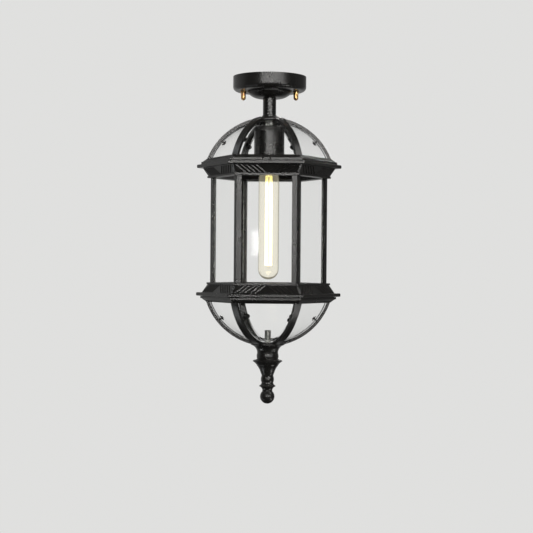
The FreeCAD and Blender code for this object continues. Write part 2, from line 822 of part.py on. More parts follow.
def stand_casting_piece(item, degrees, level, side=0):
    """Places a piece drawn in a casting's own frame, for one of the six sides."""
    spun = FreeCAD.Rotation(FreeCAD.Vector(0, 0, 1), SIXTH * side)
    flipped = FreeCAD.Rotation(FreeCAD.Vector(1, 0, 0), degrees)
    item.Placement = FreeCAD.Placement(FreeCAD.Vector(), spun * flipped)
    return place(item, z=level)


def make_bent_panes(casting, degrees, level):
    pane = bent_pane(casting)
    for side in range(HEXAGON):
        item = solid_feature(f"{casting}_pane_{side + 1}", pane)
        keep(stand_casting_piece(item, degrees, level, side), item.Label)


def clip_shape(casting, with_disc):
    """The round clip and its screw on each rib, or the screws' shanks alone, as tools for their holes."""
    climb = math.radians(size(f"{casting}_clip_angle"))
    out = FreeCAD.Vector(math.cos(climb), 0, math.sin(climb))
    centre = FreeCAD.Vector(0, 0, size(f"{casting}_arc_level"))
    rib_face = size(f"{casting}_arc_radius - rib_thick")
    # A flat disc spans the corner between two panes, so its rim touches them first.
    corner_drop = size("clip_radius / sqrt(3)") * math.cos(climb)
    seat = rib_face - size("dome_pane_gap * 2 + dome_pane_thick") - corner_drop
    disc_back = seat - size("clip_thick")
    shank_end = rib_face + size("rib_thick / 2")

    def rod(radius, start, end):
        return Part.makeCylinder(radius, end - start, centre + out * start, out)

    shape = rod(size("clip_screw_radius"), disc_back, shank_end)
    if with_disc:
        disc = rod(size("clip_radius"), disc_back, seat)
        head = rod(size("clip_head_radius"), disc_back - size("clip_head_high"), disc_back)
        shape = shape.fuse([disc, head]).removeSplitter()
    around = []
    for side in range(HEXAGON):
        around.append(shape.rotated(FreeCAD.Vector(), FreeCAD.Vector(0, 0, 1), SIXTH * side))
    return Part.makeCompound(around)


def make_clips(casting, degrees, level):
    clips = solid_feature(casting + "_clips", clip_shape(casting, True))
    keep(stand_casting_piece(clips, degrees, level), clips.Label)


def clip_holes(casting, degrees, level):
    return stand_casting_piece(solid_feature("ClipHoles", clip_shape(casting, False)), degrees, level)


# ---- socket and leads ----

def make_socket():
    """Lid, tubular cup and the porcelain lamp holder with its screw shell and centre contact."""
    turned("socket_cap", [
        ("pipe_hole_radius", "socket_under"),
        ("spigot_radius - cup_wall", "socket_under"),
        ("spigot_radius - cup_wall", "socket_rim - spigot_high"),
        ("spigot_radius", "socket_rim - spigot_high"),
        ("spigot_radius", "socket_rim"),
        ("socket_cap_radius", "socket_rim"),
        ("socket_cap_radius", "socket_under"),
        ("socket_cap_radius - cup_wall", "socket_top"),
        ("pipe_hole_radius", "socket_top"),
    ])
    turned("socket_cup", [
        ("socket_cup_radius - cup_wall", "socket_mouth"),
        ("socket_cup_radius", "socket_mouth"),
        ("socket_cup_radius", "socket_rim"),
        ("socket_cup_radius - cup_wall", "socket_rim"),
    ])
    turned("socket_body", [
        ("shell_radius + shell_wall + shell_seat_gap", "body_foot"),
        ("socket_body_radius", "body_foot"),
        ("socket_body_radius", "body_top"),
        ("socket_boss_radius", "body_top"),
        ("socket_boss_radius", "boss_top"),
        ("pipe_hole_radius", "boss_top"),
        ("pipe_hole_radius", "wire_foot"),
        ("0", "wire_foot"),
        ("0", "shell_top"),
        ("shell_radius + shell_wall + shell_seat_gap", "shell_top"),
    ])
    turned("socket_shell", [
        ("shell_radius", "shell_top - shell_high"),
        ("shell_radius + shell_wall", "shell_top - shell_high"),
        ("shell_radius + shell_wall", "shell_top"),
        ("shell_radius", "shell_top"),
    ])
    turned("socket_contact", [
        ("0", "contact_face"),
        ("contact_radius", "contact_face"),
        ("contact_radius", "shell_top"),
        ("0", "shell_top"),
    ])


def make_leads():
    """Two leads, straight up inside the pipe and then outwards inside the canopy."""
    leads = []
    bend = size("lead_bend_radius")
    top = size("lead_top")
    for side in (-1, 1):
        start = FreeCAD.Vector(side * size("lead_spread"), 0, size("wire_foot"))
        below = FreeCAD.Vector(start.x, 0, top - bend)
        after = FreeCAD.Vector(start.x, side * bend, top)
        end = FreeCAD.Vector(start.x, side * size("lead_tail_long"), top)
        half = bend * (1 - math.sqrt(0.5))
        middle = FreeCAD.Vector(start.x, side * half, top - half)
        path = Part.Wire([
            Part.LineSegment(start, below).toShape(),
            Part.Arc(below, middle, after).toShape(),
            Part.LineSegment(after, end).toShape(),
        ])
        section = Part.Wire(Part.Circle(start, FreeCAD.Vector(0, 0, 1), size("lead_radius")).toShape())
        leads.append(path.makePipeShell([section], True, False))
    keep(solid_feature("lead_wires", Part.makeCompound(leads)), "lead_wires")


# ---- bulb ----

def make_bulb():
    """Long tubular bulb: glass, screw cap, contact, glass mount and straight filaments."""
    neck_top = "bulb_cap_foot + bulb_neck_lap"
    shoulder = "bulb_cap_foot - bulb_shoulder_long"
    end = "bulb_foot + bulb_radius"
    inner = "bulb_radius - bulb_wall"
    turned("bulb_glass", [
        ("bulb_neck_radius", neck_top),
        ("bulb_neck_radius - bulb_wall", neck_top),
        ("bulb_neck_radius - bulb_wall", "bulb_cap_foot"),
        (inner, shoulder, "right", "bulb_shoulder_bow"),
        (inner, end),
        ("0", "bulb_foot + bulb_wall", "right", f"({inner}) * quarter_rise"),
        ("0", "bulb_foot"),
        ("bulb_radius", end, "left", "bulb_radius * quarter_rise"),
        ("bulb_radius", shoulder),
        ("bulb_neck_radius", "bulb_cap_foot", "left", "bulb_shoulder_bow"),
    ])
    mean = "bulb_cap_radius - bulb_thread_deep / 2"
    outline = [
        ("bulb_cap_bore", "bulb_cap_foot"),
        ("bulb_cap_radius", "bulb_cap_foot"),
        ("bulb_cap_radius", "bulb_thread_foot"),
        (mean, "bulb_thread_foot"),
    ]
    for number in range(round(size("bulb_thread_turns"))):
        for half, side in ((0.5, "left"), (1, "right")):
            level = f"bulb_thread_foot + bulb_thread_pitch * {number + half}"
            outline.append((mean, level, side, "bulb_thread_deep / 2"))
    outline += [
        ("bulb_collar_radius", "bulb_cap_top"),
        ("bulb_collar_radius - bulb_cap_wall", "bulb_cap_top"),
        ("bulb_cap_bore", "bulb_thread_top - bulb_cap_wall"),
    ]
    turned("bulb_cap", outline)
    turned("bulb_contact", [
        ("0", "bulb_cap_top"),
        ("bulb_collar_radius", "bulb_cap_top"),
        ("bulb_contact_radius", "contact_face"),
        ("0", "contact_face"),
    ])
    turned("bulb_mount", [
        ("0", "bulb_cap_foot + bulb_neck_lap / 2"),
        ("bulb_neck_radius - bulb_wall - bulb_seal_gap", "bulb_cap_foot + bulb_neck_lap / 2"),
        ("bulb_neck_radius - bulb_wall - bulb_seal_gap", "bulb_cap_foot + bulb_neck_lap / 2 - bulb_wall"),
        ("mount_flare_radius", "bulb_cap_foot - bulb_neck_lap / 2", "left", "bulb_wall"),
        ("mount_rod_radius", "filament_top + filament_plate / 2"),
        ("mount_rod_radius", end),
        ("0", end),
    ])
    rods = []
    count = round(size("filament_count"))
    for number in range(count):
        turn_angle = FULL_TURN * number / count
        rods.append(cylinder("filament_radius", "filament_top - filament_foot",
                             x=f"filament_ring_radius * cos({turn_angle} deg)",
                             y=f"filament_ring_radius * sin({turn_angle} deg)",
                             z="filament_foot"))
    for level in ("filament_top - filament_plate", "filament_foot"):
        plate = cylinder("filament_ring_radius", "filament_plate", z=level)
        rods.append(cut(plate, cylinder("mount_rod_radius + bulb_seal_gap", "filament_plate * 3",
                                        z=f"{level} - filament_plate")))
    keep(join(*rods), "bulb_filament")


# ---- cage ----

def ridges():
    """Chevron ridges for all six friezes, drawn in the ring's own frame."""
    top_flat = size("frieze_top_radius * flat_ratio")
    foot_flat = size("frieze_foot_radius * flat_ratio")
    high = size("frieze_high")
    slope = math.hypot(top_flat - foot_flat, high)
    outward = FreeCAD.Vector(0, -high / slope, -(top_flat - foot_flat) / slope)
    margin = size("ridge_margin") / high
    foot, crest = size("ridge_wide / 2"), size("ridge_crest_wide / 2")
    sink, rise = size("ridge_sink"), size("ridge_high")

    def on_slope(across, share):
        flat = top_flat + (foot_flat - top_flat) * share
        return FreeCAD.Vector(across, -flat, -size("lip_thick") - high * share)

    bars = []
    for number in range(round(size("ridge_count"))):
        low = size("ridge_centre_gap") + number * size("ridge_pitch")
        for side in (-1, 1):
            start = on_slope(side * (low + size("ridge_lean")), margin)
            end = on_slope(side * low, 1 - margin)
            section = []
            for across, out in ((-foot, -sink), (foot, -sink), (crest, rise), (-crest, rise)):
                section.append(start + FreeCAD.Vector(across, 0, 0) + outward * out)
            face = Part.Face(Part.makePolygon(section + section[:1]))
            bars.append(face.extrude(end - start))
    around = []
    for side in range(HEXAGON):
        for bar in bars:
            around.append(bar.rotated(FreeCAD.Vector(), FreeCAD.Vector(0, 0, 1), SIXTH * side))
    return Part.makeCompound(around)


def make_ring(label, degrees, level):
    """Hexagonal casting: wide lip on its seat side, sloping frieze with chevrons, and the posts' flange."""
    frieze_end = "-(lip_thick + frieze_high)"
    edge = "lip_radius - lip_edge"
    lip = join(
        frustum(edge, "0", "lip_radius", "-lip_edge"),
        prism("lip_radius", "lip_thick - 2 * lip_edge", "lip_edge - lip_thick"),
        frustum("lip_radius", "lip_edge - lip_thick", edge, "-lip_thick"),
    )
    slope = frustum("frieze_top_radius", "-lip_thick", "frieze_foot_radius", frieze_end)
    facets = frustum("(frieze_top_radius - frieze_facet) / flat_ratio", "-lip_thick",
                     "(frieze_foot_radius - frieze_facet) / flat_ratio", frieze_end, degrees=SIXTH / 2)
    foot = prism("frieze_foot_radius + lip_edge", "foot_lip_thick", "-ring_high")
    hollow = frustum("frieze_top_radius - frieze_wall", "lip_edge",
                     "frieze_foot_radius - frieze_wall", "flange_thick - ring_high")
    opening = prism("flange_radius", "ring_high + lip_thick", "-ring_high - lip_edge")
    groove = cut(
        prism("(pane_flat + side_pane_gap) / flat_ratio", "glass_groove_deep * 2",
              "-ring_high - glass_groove_deep"),
        prism("(pane_flat - side_pane_thick - side_pane_gap) / flat_ratio", "glass_groove_deep * 4",
              "-ring_high - glass_groove_deep * 2"),
    )
    plain = cut(join(lip, overlap(slope, facets), foot), hollow, opening, groove)
    ring = join(plain, solid_feature("Ridges", ridges()))
    keep(place(turn(ring, (1, 0, 0), degrees), z=level), label)


def make_posts():
    """Corner posts: two legs that cover the panes' edges and a web between the panes."""
    leg_x = "(post_corner_radius - post_leg / 2)"
    leg_y = "(post_leg * flat_ratio)"
    back_x = f"({leg_x} - post_leg_thick * flat_ratio)"
    back_y = f"({leg_y} - post_leg_thick / 2)"
    web = "(post_web_wide / 2)"
    web_x = "(post_corner_radius - (post_leg_thick + post_web_wide / 4) / flat_ratio)"
    deep_x = "(post_corner_radius - post_deep)"
    half = [(leg_x, leg_y), (back_x, back_y), (web_x, web), (deep_x, web)]
    mirrored = [(x, f"-{y}") for x, y in reversed(half)]
    for number in range(HEXAGON):
        body = new_body(f"post_{number + 1}")
        section = [("post_corner_radius", "0"), *half, *mirrored]
        pad(body, new_sketch(body, "XY_Plane", section), "post_long")
        place(turn(body, (0, 0, 1), SIXTH * number), z="post_foot")
        keep(body, f"post_{number + 1}")


def make_side_panes():
    """Flat panes that stand in the grooves of both rings, behind the posts' legs."""
    behind = "(post_web_wide / 2 / flat_ratio + side_pane_gap)"
    wide = f"2 * ((pane_flat - side_pane_thick) / sqrt(3) - {behind})"
    lap = "(glass_groove_deep - side_pane_gap)"
    for side in range(HEXAGON):
        pane = DOC.addObject("Part::Box", "Pane")
        bind(pane, "Length", wide)
        bind(pane, "Width", "side_pane_thick")
        bind(pane, "Height", f"post_long + 2 * {lap}")
        angle = SIXTH * side
        turn(pane, (0, 0, 1), angle)
        across = f"-({wide}) / 2"
        place(pane, x=f"({across}) * cos({angle} deg) + pane_flat * sin({angle} deg)",
              y=f"({across}) * sin({angle} deg) - pane_flat * cos({angle} deg)",
              z=f"post_foot - {lap}")
        keep(pane, f"side_pane_{side + 1}")


def make_finial():
    """Threaded stud through the bowl's hub, its nut, and the turned finial below."""
    hub_inside = "bowl_rim + hub_edge"
    stud_foot = "bowl_rim - finial_stud_depth"
    stud_long = "finial_stud_depth + hub_edge + finial_stud_reach"
    stud = cylinder("finial_stud_radius", stud_long, z=stud_foot)
    bore = cylinder("finial_stud_bore", f"{stud_long} + 2 * finial_edge", z=f"{stud_foot} - finial_edge")
    keep(cut(stud, bore), "finial_stud")
    keep(hex_nut("finial_nut_radius", "finial_nut_high", hub_inside, "finial_hole_radius"), "finial_nut")
    waist = "bowl_rim - finial_cup_high"
    ring_root = f"{waist} - finial_bulge_high"
    ring = f"{ring_root} - finial_ring_high"
    step = f"{ring} - finial_ring_fall"
    neck = f"{step} - finial_taper_high"
    bead = f"{neck} - finial_bead_high"
    low_ring = f"{bead} - finial_low_ring_high"
    throat = f"{low_ring} - finial_low_ring_high"
    ball_centre = f"{throat} - finial_throat_high"
    ball_top = ("finial_throat_radius",
                f"{ball_centre} + sqrt(finial_ball_radius^2 - finial_throat_radius^2)")
    ball_side = ("finial_ball_radius", ball_centre)
    turned("finial", [
        ("finial_hole_radius", "bowl_rim"),
        ("finial_cup_radius", "bowl_rim"),
        ("finial_cup_radius", "bowl_rim - finial_edge"),
        ("finial_waist_radius", waist, "left", "finial_edge * 2"),
        ("finial_waist_radius", ring_root, "right", "finial_edge / 2"),
        ("finial_ring_radius - finial_edge", f"{ring} + finial_edge", "left", "finial_edge / 4"),
        ("finial_ring_radius", ring),
        ("finial_step_radius", step, "left", "finial_edge / 4"),
        ("finial_step_radius - finial_edge / 2", f"{step} - finial_edge"),
        ("finial_neck_radius + finial_edge", f"{neck} + finial_bead_high / 2", "left", "finial_edge / 2"),
        ("finial_neck_radius", neck, "left", "finial_edge / 4"),
        ("finial_neck_radius", bead, "right", "finial_bead_rise"),
        ("finial_low_ring_radius - finial_edge / 2", f"{low_ring} + finial_edge / 2", "left",
         "finial_edge / 2"),
        ("finial_low_ring_radius", low_ring),
        ("finial_low_ring_radius - finial_edge / 2", f"{low_ring} - finial_edge / 2"),
        ("finial_throat_radius", throat, "left", "finial_edge / 2"),
        ball_top,
        (*ball_side, "right", arc_rise("finial_ball_radius", ball_top, ball_side)),
        ("0", f"{ball_centre} - finial_ball_radius", "right", "finial_ball_radius * quarter_rise"),
        ("0", stud_foot),
        ("finial_hole_radius", stud_foot),
    ])


# ---- rear hinge and front catch ----

def make_hinge():
    """Rear hinge: two fixed knuckles on the dome's band, one on the cage's lip, and a headed pin."""
    arm_wide = "((leaf_wide - knuckle_wide) / 2 - knuckle_gap)"
    arm_place = f"(leaf_wide / 2 - {arm_wide} / 2)"
    reach = "(hinge_flat - band_flat)"
    arm_foot = "ring_top + seat_gap * 2"
    parts = [box("leaf_wide", "leaf_thick", "band_strip_high", y="band_flat + leaf_thick / 2",
                 z="dome_seat + band_groove_high")]
    for side in (-1, 1):
        x = f"{side} * {arm_place}"
        parts.append(box(arm_wide, reach, f"ring_top + knuckle_radius - ({arm_foot})", x=x,
                         y=f"band_flat + {reach} / 2", z=arm_foot))
        parts.append(lying_cylinder("knuckle_radius", arm_wide, x=f"{x} - {arm_wide} / 2",
                                    y="hinge_flat", z="ring_top", along=(1, 0, 0)))
    bore = {"radius": "hinge_pin_radius + hinge_pin_clearance", "long": "leaf_wide * 2",
            "x": "-leaf_wide", "y": "hinge_flat", "z": "ring_top", "along": (1, 0, 0)}
    keep(cut(join(*parts), lying_cylinder(**bore)), "fixed_hinge_leaf")
    plate = box("leaf_wide", "leaf_thick", "lip_thick - 2 * lip_edge", y="lip_flat + leaf_thick / 2",
                z="ring_top + lip_edge - lip_thick")
    web_long = "(knuckle_radius + hinge_reach)"
    web = box("knuckle_wide", f"{web_long} + leaf_thick / 2", "knuckle_radius - lip_edge",
              y=f"lip_flat + leaf_thick + {web_long} / 2 - leaf_thick / 4", z="ring_top - knuckle_radius")
    knuckle = lying_cylinder("knuckle_radius", "knuckle_wide", x="-knuckle_wide / 2", y="hinge_flat",
                             z="ring_top", along=(1, 0, 0))
    keep(cut(join(plate, web, knuckle), lying_cylinder(**bore)), "cage_hinge_leaf")
    head = "hinge_pin_head_long"
    pin = [lying_cylinder("hinge_pin_radius", "leaf_wide", x="-leaf_wide / 2", y="hinge_flat",
                          z="ring_top", along=(1, 0, 0))]
    for x in (f"-leaf_wide / 2 - {head}", "leaf_wide / 2"):
        pin.append(lying_cylinder("hinge_pin_head_radius", head, x=x, y="hinge_flat", z="ring_top",
                                  along=(1, 0, 0)))
    keep(join(*pin), "hinge_pin")


def make_catch():
    """Upright tab on the cage's lip, in front of the notch, and the slotted screw through it."""
    tab = box("tab_wide", "tab_thick", "tab_high", y="-tab_front + tab_thick / 2", z="ring_top")
    bore = lying_cylinder("catch_screw_radius + catch_screw_clearance", "tab_thick * 3",
                          y="-tab_front - tab_thick", z="screw_level")
    keep(cut(tab, bore), "catch_tab")
    shank = lying_cylinder("catch_screw_radius", "tab_front - band_flat - seat_gap", y="-tab_front",
                           z="screw_level")
    head = lying_cylinder("catch_head_radius", "catch_head_high", y="-tab_front - catch_head_high",
                          z="screw_level")
    slot = box("catch_head_radius * 3", "catch_slot_deep * 2", "catch_slot_wide",
               y="-tab_front - catch_head_high", z="screw_level - catch_slot_wide / 2")
    keep(cut(join(shank, head), slot), "catch_screw")


# ---- the whole lantern ----

def check_and_write():
    """Stops at any failed object, then writes one file for each sub-part."""
    DOC.recompute()
    for item in DOC.Objects:
        if "Invalid" in item.State or "Error" in item.State:
            raise RuntimeError(f"{item.Name} ({item.Label}) failed: {item.State}")
    for item in SUBPARTS:
        if item.Shape.isNull() or not item.Shape.isValid() or not item.Shape.Solids:
            raise RuntimeError(f"{item.Label} has no valid solid")
    os.makedirs("parts", exist_ok=True)
    for item in SUBPARTS:
        item.Shape.exportStep(f"parts/{item.Label}.step")
        print(item.Label, len(item.Shape.Solids), round(item.Shape.Volume, 1))


make_canopy()
make_crossbar()
make_canopy_fasteners()
make_stem()
make_pipe_and_nuts()
make_dome()
make_bent_panes("dome", UPRIGHT, "dome_seat")
make_clips("dome", UPRIGHT, "dome_seat")
make_socket()
make_leads()
make_bulb()
make_ring("upper_ring", UPRIGHT, "ring_top")
make_posts()
make_ring("lower_ring", UPSIDE_DOWN, "bowl_seat")
make_side_panes()
make_bowl()
make_bent_panes("bowl", UPSIDE_DOWN, "bowl_seat")
make_clips("bowl", UPSIDE_DOWN, "bowl_seat")
make_finial()
make_hinge()
make_catch()
check_and_write()
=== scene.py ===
"""Dresses the hexagonal porch ceiling lantern.

Finishes, glass, the lit bulb, small fittings and a plain stage. Lengths are in metres.
"""
import math
import random

import bmesh
import bpy
from mathutils import Matrix, Vector


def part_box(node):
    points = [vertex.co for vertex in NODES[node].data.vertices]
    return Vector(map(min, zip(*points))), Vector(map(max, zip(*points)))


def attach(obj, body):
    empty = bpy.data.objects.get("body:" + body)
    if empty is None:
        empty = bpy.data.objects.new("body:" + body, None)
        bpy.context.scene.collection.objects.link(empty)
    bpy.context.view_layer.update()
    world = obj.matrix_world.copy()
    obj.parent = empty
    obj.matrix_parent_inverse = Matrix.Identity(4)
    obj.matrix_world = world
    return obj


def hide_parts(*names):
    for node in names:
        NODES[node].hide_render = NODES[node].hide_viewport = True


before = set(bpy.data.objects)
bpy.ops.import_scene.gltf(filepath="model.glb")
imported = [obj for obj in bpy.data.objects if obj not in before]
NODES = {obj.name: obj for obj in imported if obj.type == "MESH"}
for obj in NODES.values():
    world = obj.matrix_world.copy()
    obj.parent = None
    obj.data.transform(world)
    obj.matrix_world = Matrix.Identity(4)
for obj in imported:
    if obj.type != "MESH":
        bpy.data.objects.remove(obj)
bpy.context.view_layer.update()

bl_info = {
    "name": "Porch ceiling lantern",
    "version": (1, 0, 0),
    "blender": (4, 5, 0),
    "location": "3D View > Sidebar > Lantern",
    "description": "Finishes and small fittings for a glazed hexagonal ceiling lantern",
    "category": "Object",
}

SIX = range(1, 7)
PICTURE_SIDE = 533              # pixels
PICTURE_SHIFT = (-1.8, -1.9)    # pixels that the picture is moved, across and up
SENSOR = 36.0                   # millimetres
NEAREST_SEEN = 0.05
DARKER, LIGHTER = 0.8, 1.2      # how far the tone of a powder coat wanders

# Name, place, width and height, watts and tone of each lamp. All of them face LAMP_AIM.
LAMP_AIM = Vector((0, 0, -0.24))
LAMPS = (
    ("front softbox", (0.46, -2.57, 0.30), (3.5, 1.24), 62.0, (1.0, 0.985, 0.96)),
    ("left high softbox", (-1.44, -0.31, 1.42), (0.6, 0.6), 3.4, (0.95, 0.98, 1.0)),
    ("left low softbox", (-1.44, -0.31, -1.86), (0.6, 0.6), 3.4, (0.95, 0.98, 1.0)),
    ("right high softbox", (1.6, -0.4, 1.30), (0.8, 0.8), 8.0, (1.0, 0.99, 0.97)),
    ("right low softbox", (1.6, -0.4, -1.74), (0.8, 0.8), 8.0, (1.0, 0.99, 0.97)),
    ("right front softbox", (1.90, -1.77, -0.10), (0.45, 0.5), 4.2, (1.0, 0.99, 0.97)),
    ("rear softbox", (0.4, 2.6, 1.4), (1.4, 1.0), 10.0, (1.0, 1.0, 1.0)),
    ("window", (-0.132, -2.374, -0.203), (0.026, 0.083), 0.6, (1.0, 1.0, 1.0)),
)

# What mirror rays meet: a dark room, and pale light from three broad lobes. Each lobe has its
# direction, the cosines at which it starts and is full, and the share of the backdrop it adds.
DARK_ROOM = 0.03
MIRROR_LOBES = (
    ((-0.85, 0.53, 0.0), 0.55, 0.97, 0.55),
    ((0.85, 0.53, 0.0), 0.55, 0.97, 0.15),
    ((0.0, 0.99, -0.14), 0.75, 0.98, 0.6),
)


# ---- sizes and colours that a user would change ----

class CastFinish(bpy.types.PropertyGroup):
    """Powder coat on the cast aluminium and the pressed steel."""
    colour: bpy.props.FloatVectorProperty(
        name="Coat colour", description="Colour of the black powder coat", subtype="COLOR", size=3,
        min=0, max=1, default=(0.0075, 0.0072, 0.0066))
    bare: bpy.props.FloatVectorProperty(
        name="Worn colour", description="Colour of the coat where its edges are rubbed", subtype="COLOR",
        size=3, min=0, max=1, default=(0.045, 0.043, 0.041))
    dust: bpy.props.FloatVectorProperty(
        name="Dust colour", description="Colour of the dust on faces that look up", subtype="COLOR",
        size=3, min=0, max=1, default=(0.07, 0.067, 0.062))
    grain: bpy.props.FloatProperty(
        name="Grain size", description="Size of the coat's fine grain", unit="LENGTH", default=0.0007,
        min=0.0001, max=0.01, precision=5)
    edge: bpy.props.FloatProperty(
        name="Edge rounding", description="Radius to which cast edges look rounded", unit="LENGTH",
        default=0.0002, min=0, max=0.005, precision=5)
    roughness: bpy.props.FloatProperty(
        name="Roughness", description="How dull the coat is", subtype="FACTOR", default=0.29, min=0, max=1)


class GlassFinish(bpy.types.PropertyGroup):
    """Clear panes and their sealant."""
    tint: bpy.props.FloatVectorProperty(
        name="Pane tint", description="Faint tint of the panes", subtype="COLOR", size=3, min=0, max=1,
        default=(0.99, 0.992, 0.99))
    refraction: bpy.props.FloatProperty(
        name="Pane refraction", description="Index of refraction of the thin panes", default=1.13, min=1,
        max=2.5)
    sealant_radius: bpy.props.FloatProperty(
        name="Sealant bead", description="Radius of the clear bead inside the posts", unit="LENGTH",
        default=0.0011, min=0.0003, max=0.004, precision=5)
    sealant_tint: bpy.props.FloatVectorProperty(
        name="Sealant tint", description="Colour of the clear sealant", subtype="COLOR", size=3, min=0,
        max=1, default=(0.30, 0.31, 0.30))


class BulbFinish(bpy.types.PropertyGroup):
    """The long tubular bulb."""
    tint: bpy.props.FloatVectorProperty(
        name="Bulb tint", description="Warm tint of the bulb's glass", subtype="COLOR", size=3, min=0,
        max=1, default=(0.985, 0.97, 0.925))
    # Painted glow: a faint warm emission on the bulb's glass that stands in for the lit bulb's light
    # spread through it.
    painted_glow: bpy.props.FloatVectorProperty(
        name="Painted glass glow", description="Warm light that the lit bulb's glass gives off", subtype="COLOR",
        size=3, min=0, max=1, default=(0.050, 0.046, 0.034))
    glow: bpy.props.FloatVectorProperty(
        name="Glow colour", description="Colour of the lit filaments", subtype="COLOR", size=3, min=0,
        max=1, default=(1.0, 0.90, 0.70))
    strength: bpy.props.FloatProperty(
        name="Glow strength", description="Brightness of the lit filaments", default=2.6, min=0, max=100)


class ThreadSizes(bpy.types.PropertyGroup):
    """Thread of the stud that stands in the bowl."""
    pitch: bpy.props.FloatProperty(
        name="Pitch", description="Height of one turn of the thread", unit="LENGTH", default=0.00127,
        min=0.0003, max=0.005, precision=5)
    depth: bpy.props.FloatProperty(
        name="Depth", description="How deep the thread is cut", unit="LENGTH", default=0.0006, min=0.0001,
        max=0.002, precision=5)


class StageSettings(bpy.types.PropertyGroup):
    """Backdrop and camera."""
    backdrop: bpy.props.FloatVectorProperty(
        name="Backdrop", description="Colour of the floor and backdrop", subtype="COLOR", size=3, min=0,
        max=1, default=(0.745, 0.745, 0.735))
    distance: bpy.props.FloatProperty(
        name="Camera distance", description="From the camera to the lantern's axis", unit="LENGTH",
        default=1.845, min=0.5, max=10)
    height: bpy.props.FloatProperty(
        name="Camera height", description="Height of the camera; the ceiling is zero", unit="LENGTH",
        default=-0.272, min=-3, max=3)
    side: bpy.props.FloatProperty(
        name="Camera side angle", description="How far the camera stands to the right",
        subtype="ANGLE", default=math.radians(2.3), min=-3.2, max=3.2)
    lean: bpy.props.FloatProperty(
        name="Camera roll", description="How far the camera leans", subtype="ANGLE",
        default=math.radians(0.45), min=-0.5, max=0.5)
    focal_pixels: bpy.props.FloatProperty(
        name="Focal length in pixels", description="Focal length for a picture 533 pixels wide",
        default=1272.0, min=100, max=10000)


SETTINGS = (
    ("lantern_cast", CastFinish),
    ("lantern_glass", GlassFinish),
    ("lantern_bulb", BulbFinish),
    ("lantern_thread", ThreadSizes),
    ("lantern_stage", StageSettings),
)


# ---- node helpers ----

def add(tree, kind, place=(0, 0), **settings):
    """A node of one kind, with plain attributes set by name."""
    node = tree.nodes.new(kind)
    node.location = place
    for name, value in settings.items():
        setattr(node, name, value)
    return node


def math_node(tree, operation, first, second, clamp=False):
    """A Math node whose inputs are sockets or plain numbers."""
    node = add(tree, "ShaderNodeMath", operation=operation, use_clamp=clamp)
    for socket, value in zip(node.inputs, (first, second)):
        join(tree, value, socket)
    return node.outputs[0]


def join(tree, source, socket):
    """Links a socket, or sets a plain value."""
    if isinstance(source, bpy.types.NodeSocket):
        tree.links.new(source, socket)
    else:
        socket.default_value = source


def range_node(tree, source, low, high, to_low, to_high):
    """Maps a value smoothly from one range to another."""
    node = add(tree, "ShaderNodeMapRange", interpolation_type="SMOOTHSTEP")
    for name, value in (("Value", source), ("From Min", low), ("From Max", high), ("To Min", to_low),
                        ("To Max", to_high)):
        join(tree, value, node.inputs[name])
    return node.outputs["Result"]


def mix_colour(tree, factor, first, second):
    """Mixes two colours, each a socket or three plain numbers."""
    node = add(tree, "ShaderNodeMix", data_type="RGBA")
    for index, value in ((0, factor), (6, first), (7, second)):
        join(tree, (*value, 1.0) if isinstance(value, tuple) and len(value) == 3 else value,
             node.inputs[index])
    return node.outputs[2]


def new_group(name, inputs, outputs):
    """An effect group with named sockets. Gives the tree, its inputs and its output node."""
    tree = bpy.data.node_groups.new(name, "ShaderNodeTree")
    for label, kind, value in inputs:
        socket = tree.interface.new_socket(name=label, in_out="INPUT", socket_type=kind)
        if value is not None:
            socket.default_value = value
    for label, kind in outputs:
        tree.interface.new_socket(name=label, in_out="OUTPUT", socket_type=kind)
    start = add(tree, "NodeGroupInput", (-900, 0))
    end = add(tree, "NodeGroupOutput", (600, 0))
    return tree, start.outputs, end.inputs


def noise(tree, vector, scale, detail=4.0, roughness=0.55):
    """The value of a Noise texture."""
    node = add(tree, "ShaderNodeTexNoise")
    for name, value in (("Vector", vector), ("Scale", scale), ("Detail", detail),
                        ("Roughness", roughness)):
        join(tree, value, node.inputs[name])
    return node.outputs["Fac"]


def make_grain_group():
    """Fine sandy grain with soft orange peel under it and a few larger pits."""
    tree, given, out = new_group(
        "Powder grain",
        [("Scale", "NodeSocketFloat", 1100.0), ("Pits", "NodeSocketFloat", 0.3)],
        [("Height", "NodeSocketFloat"), ("Tone", "NodeSocketFloat")])
    place = add(tree, "ShaderNodeNewGeometry").outputs["Position"]
    fine = noise(tree, place, given["Scale"])
    peel = noise(tree, place, math_node(tree, "MULTIPLY", given["Scale"], 0.22), 2.0)
    cells = add(tree, "ShaderNodeTexVoronoi", feature="SMOOTH_F1")
    join(tree, place, cells.inputs["Vector"])
    join(tree, math_node(tree, "MULTIPLY", given["Scale"], 0.35), cells.inputs["Scale"])
    pit = range_node(tree, cells.outputs["Distance"], 0.05, 0.28, 1.0, 0.0)
    body = math_node(tree, "ADD", math_node(tree, "MULTIPLY", fine, 0.45),
                     math_node(tree, "MULTIPLY", peel, 0.55))
    join(tree, math_node(tree, "SUBTRACT", body, math_node(tree, "MULTIPLY", pit, given["Pits"])),
         out["Height"])
    join(tree, noise(tree, place, 24.0, 5.0, 0.6), out["Tone"])
    return tree


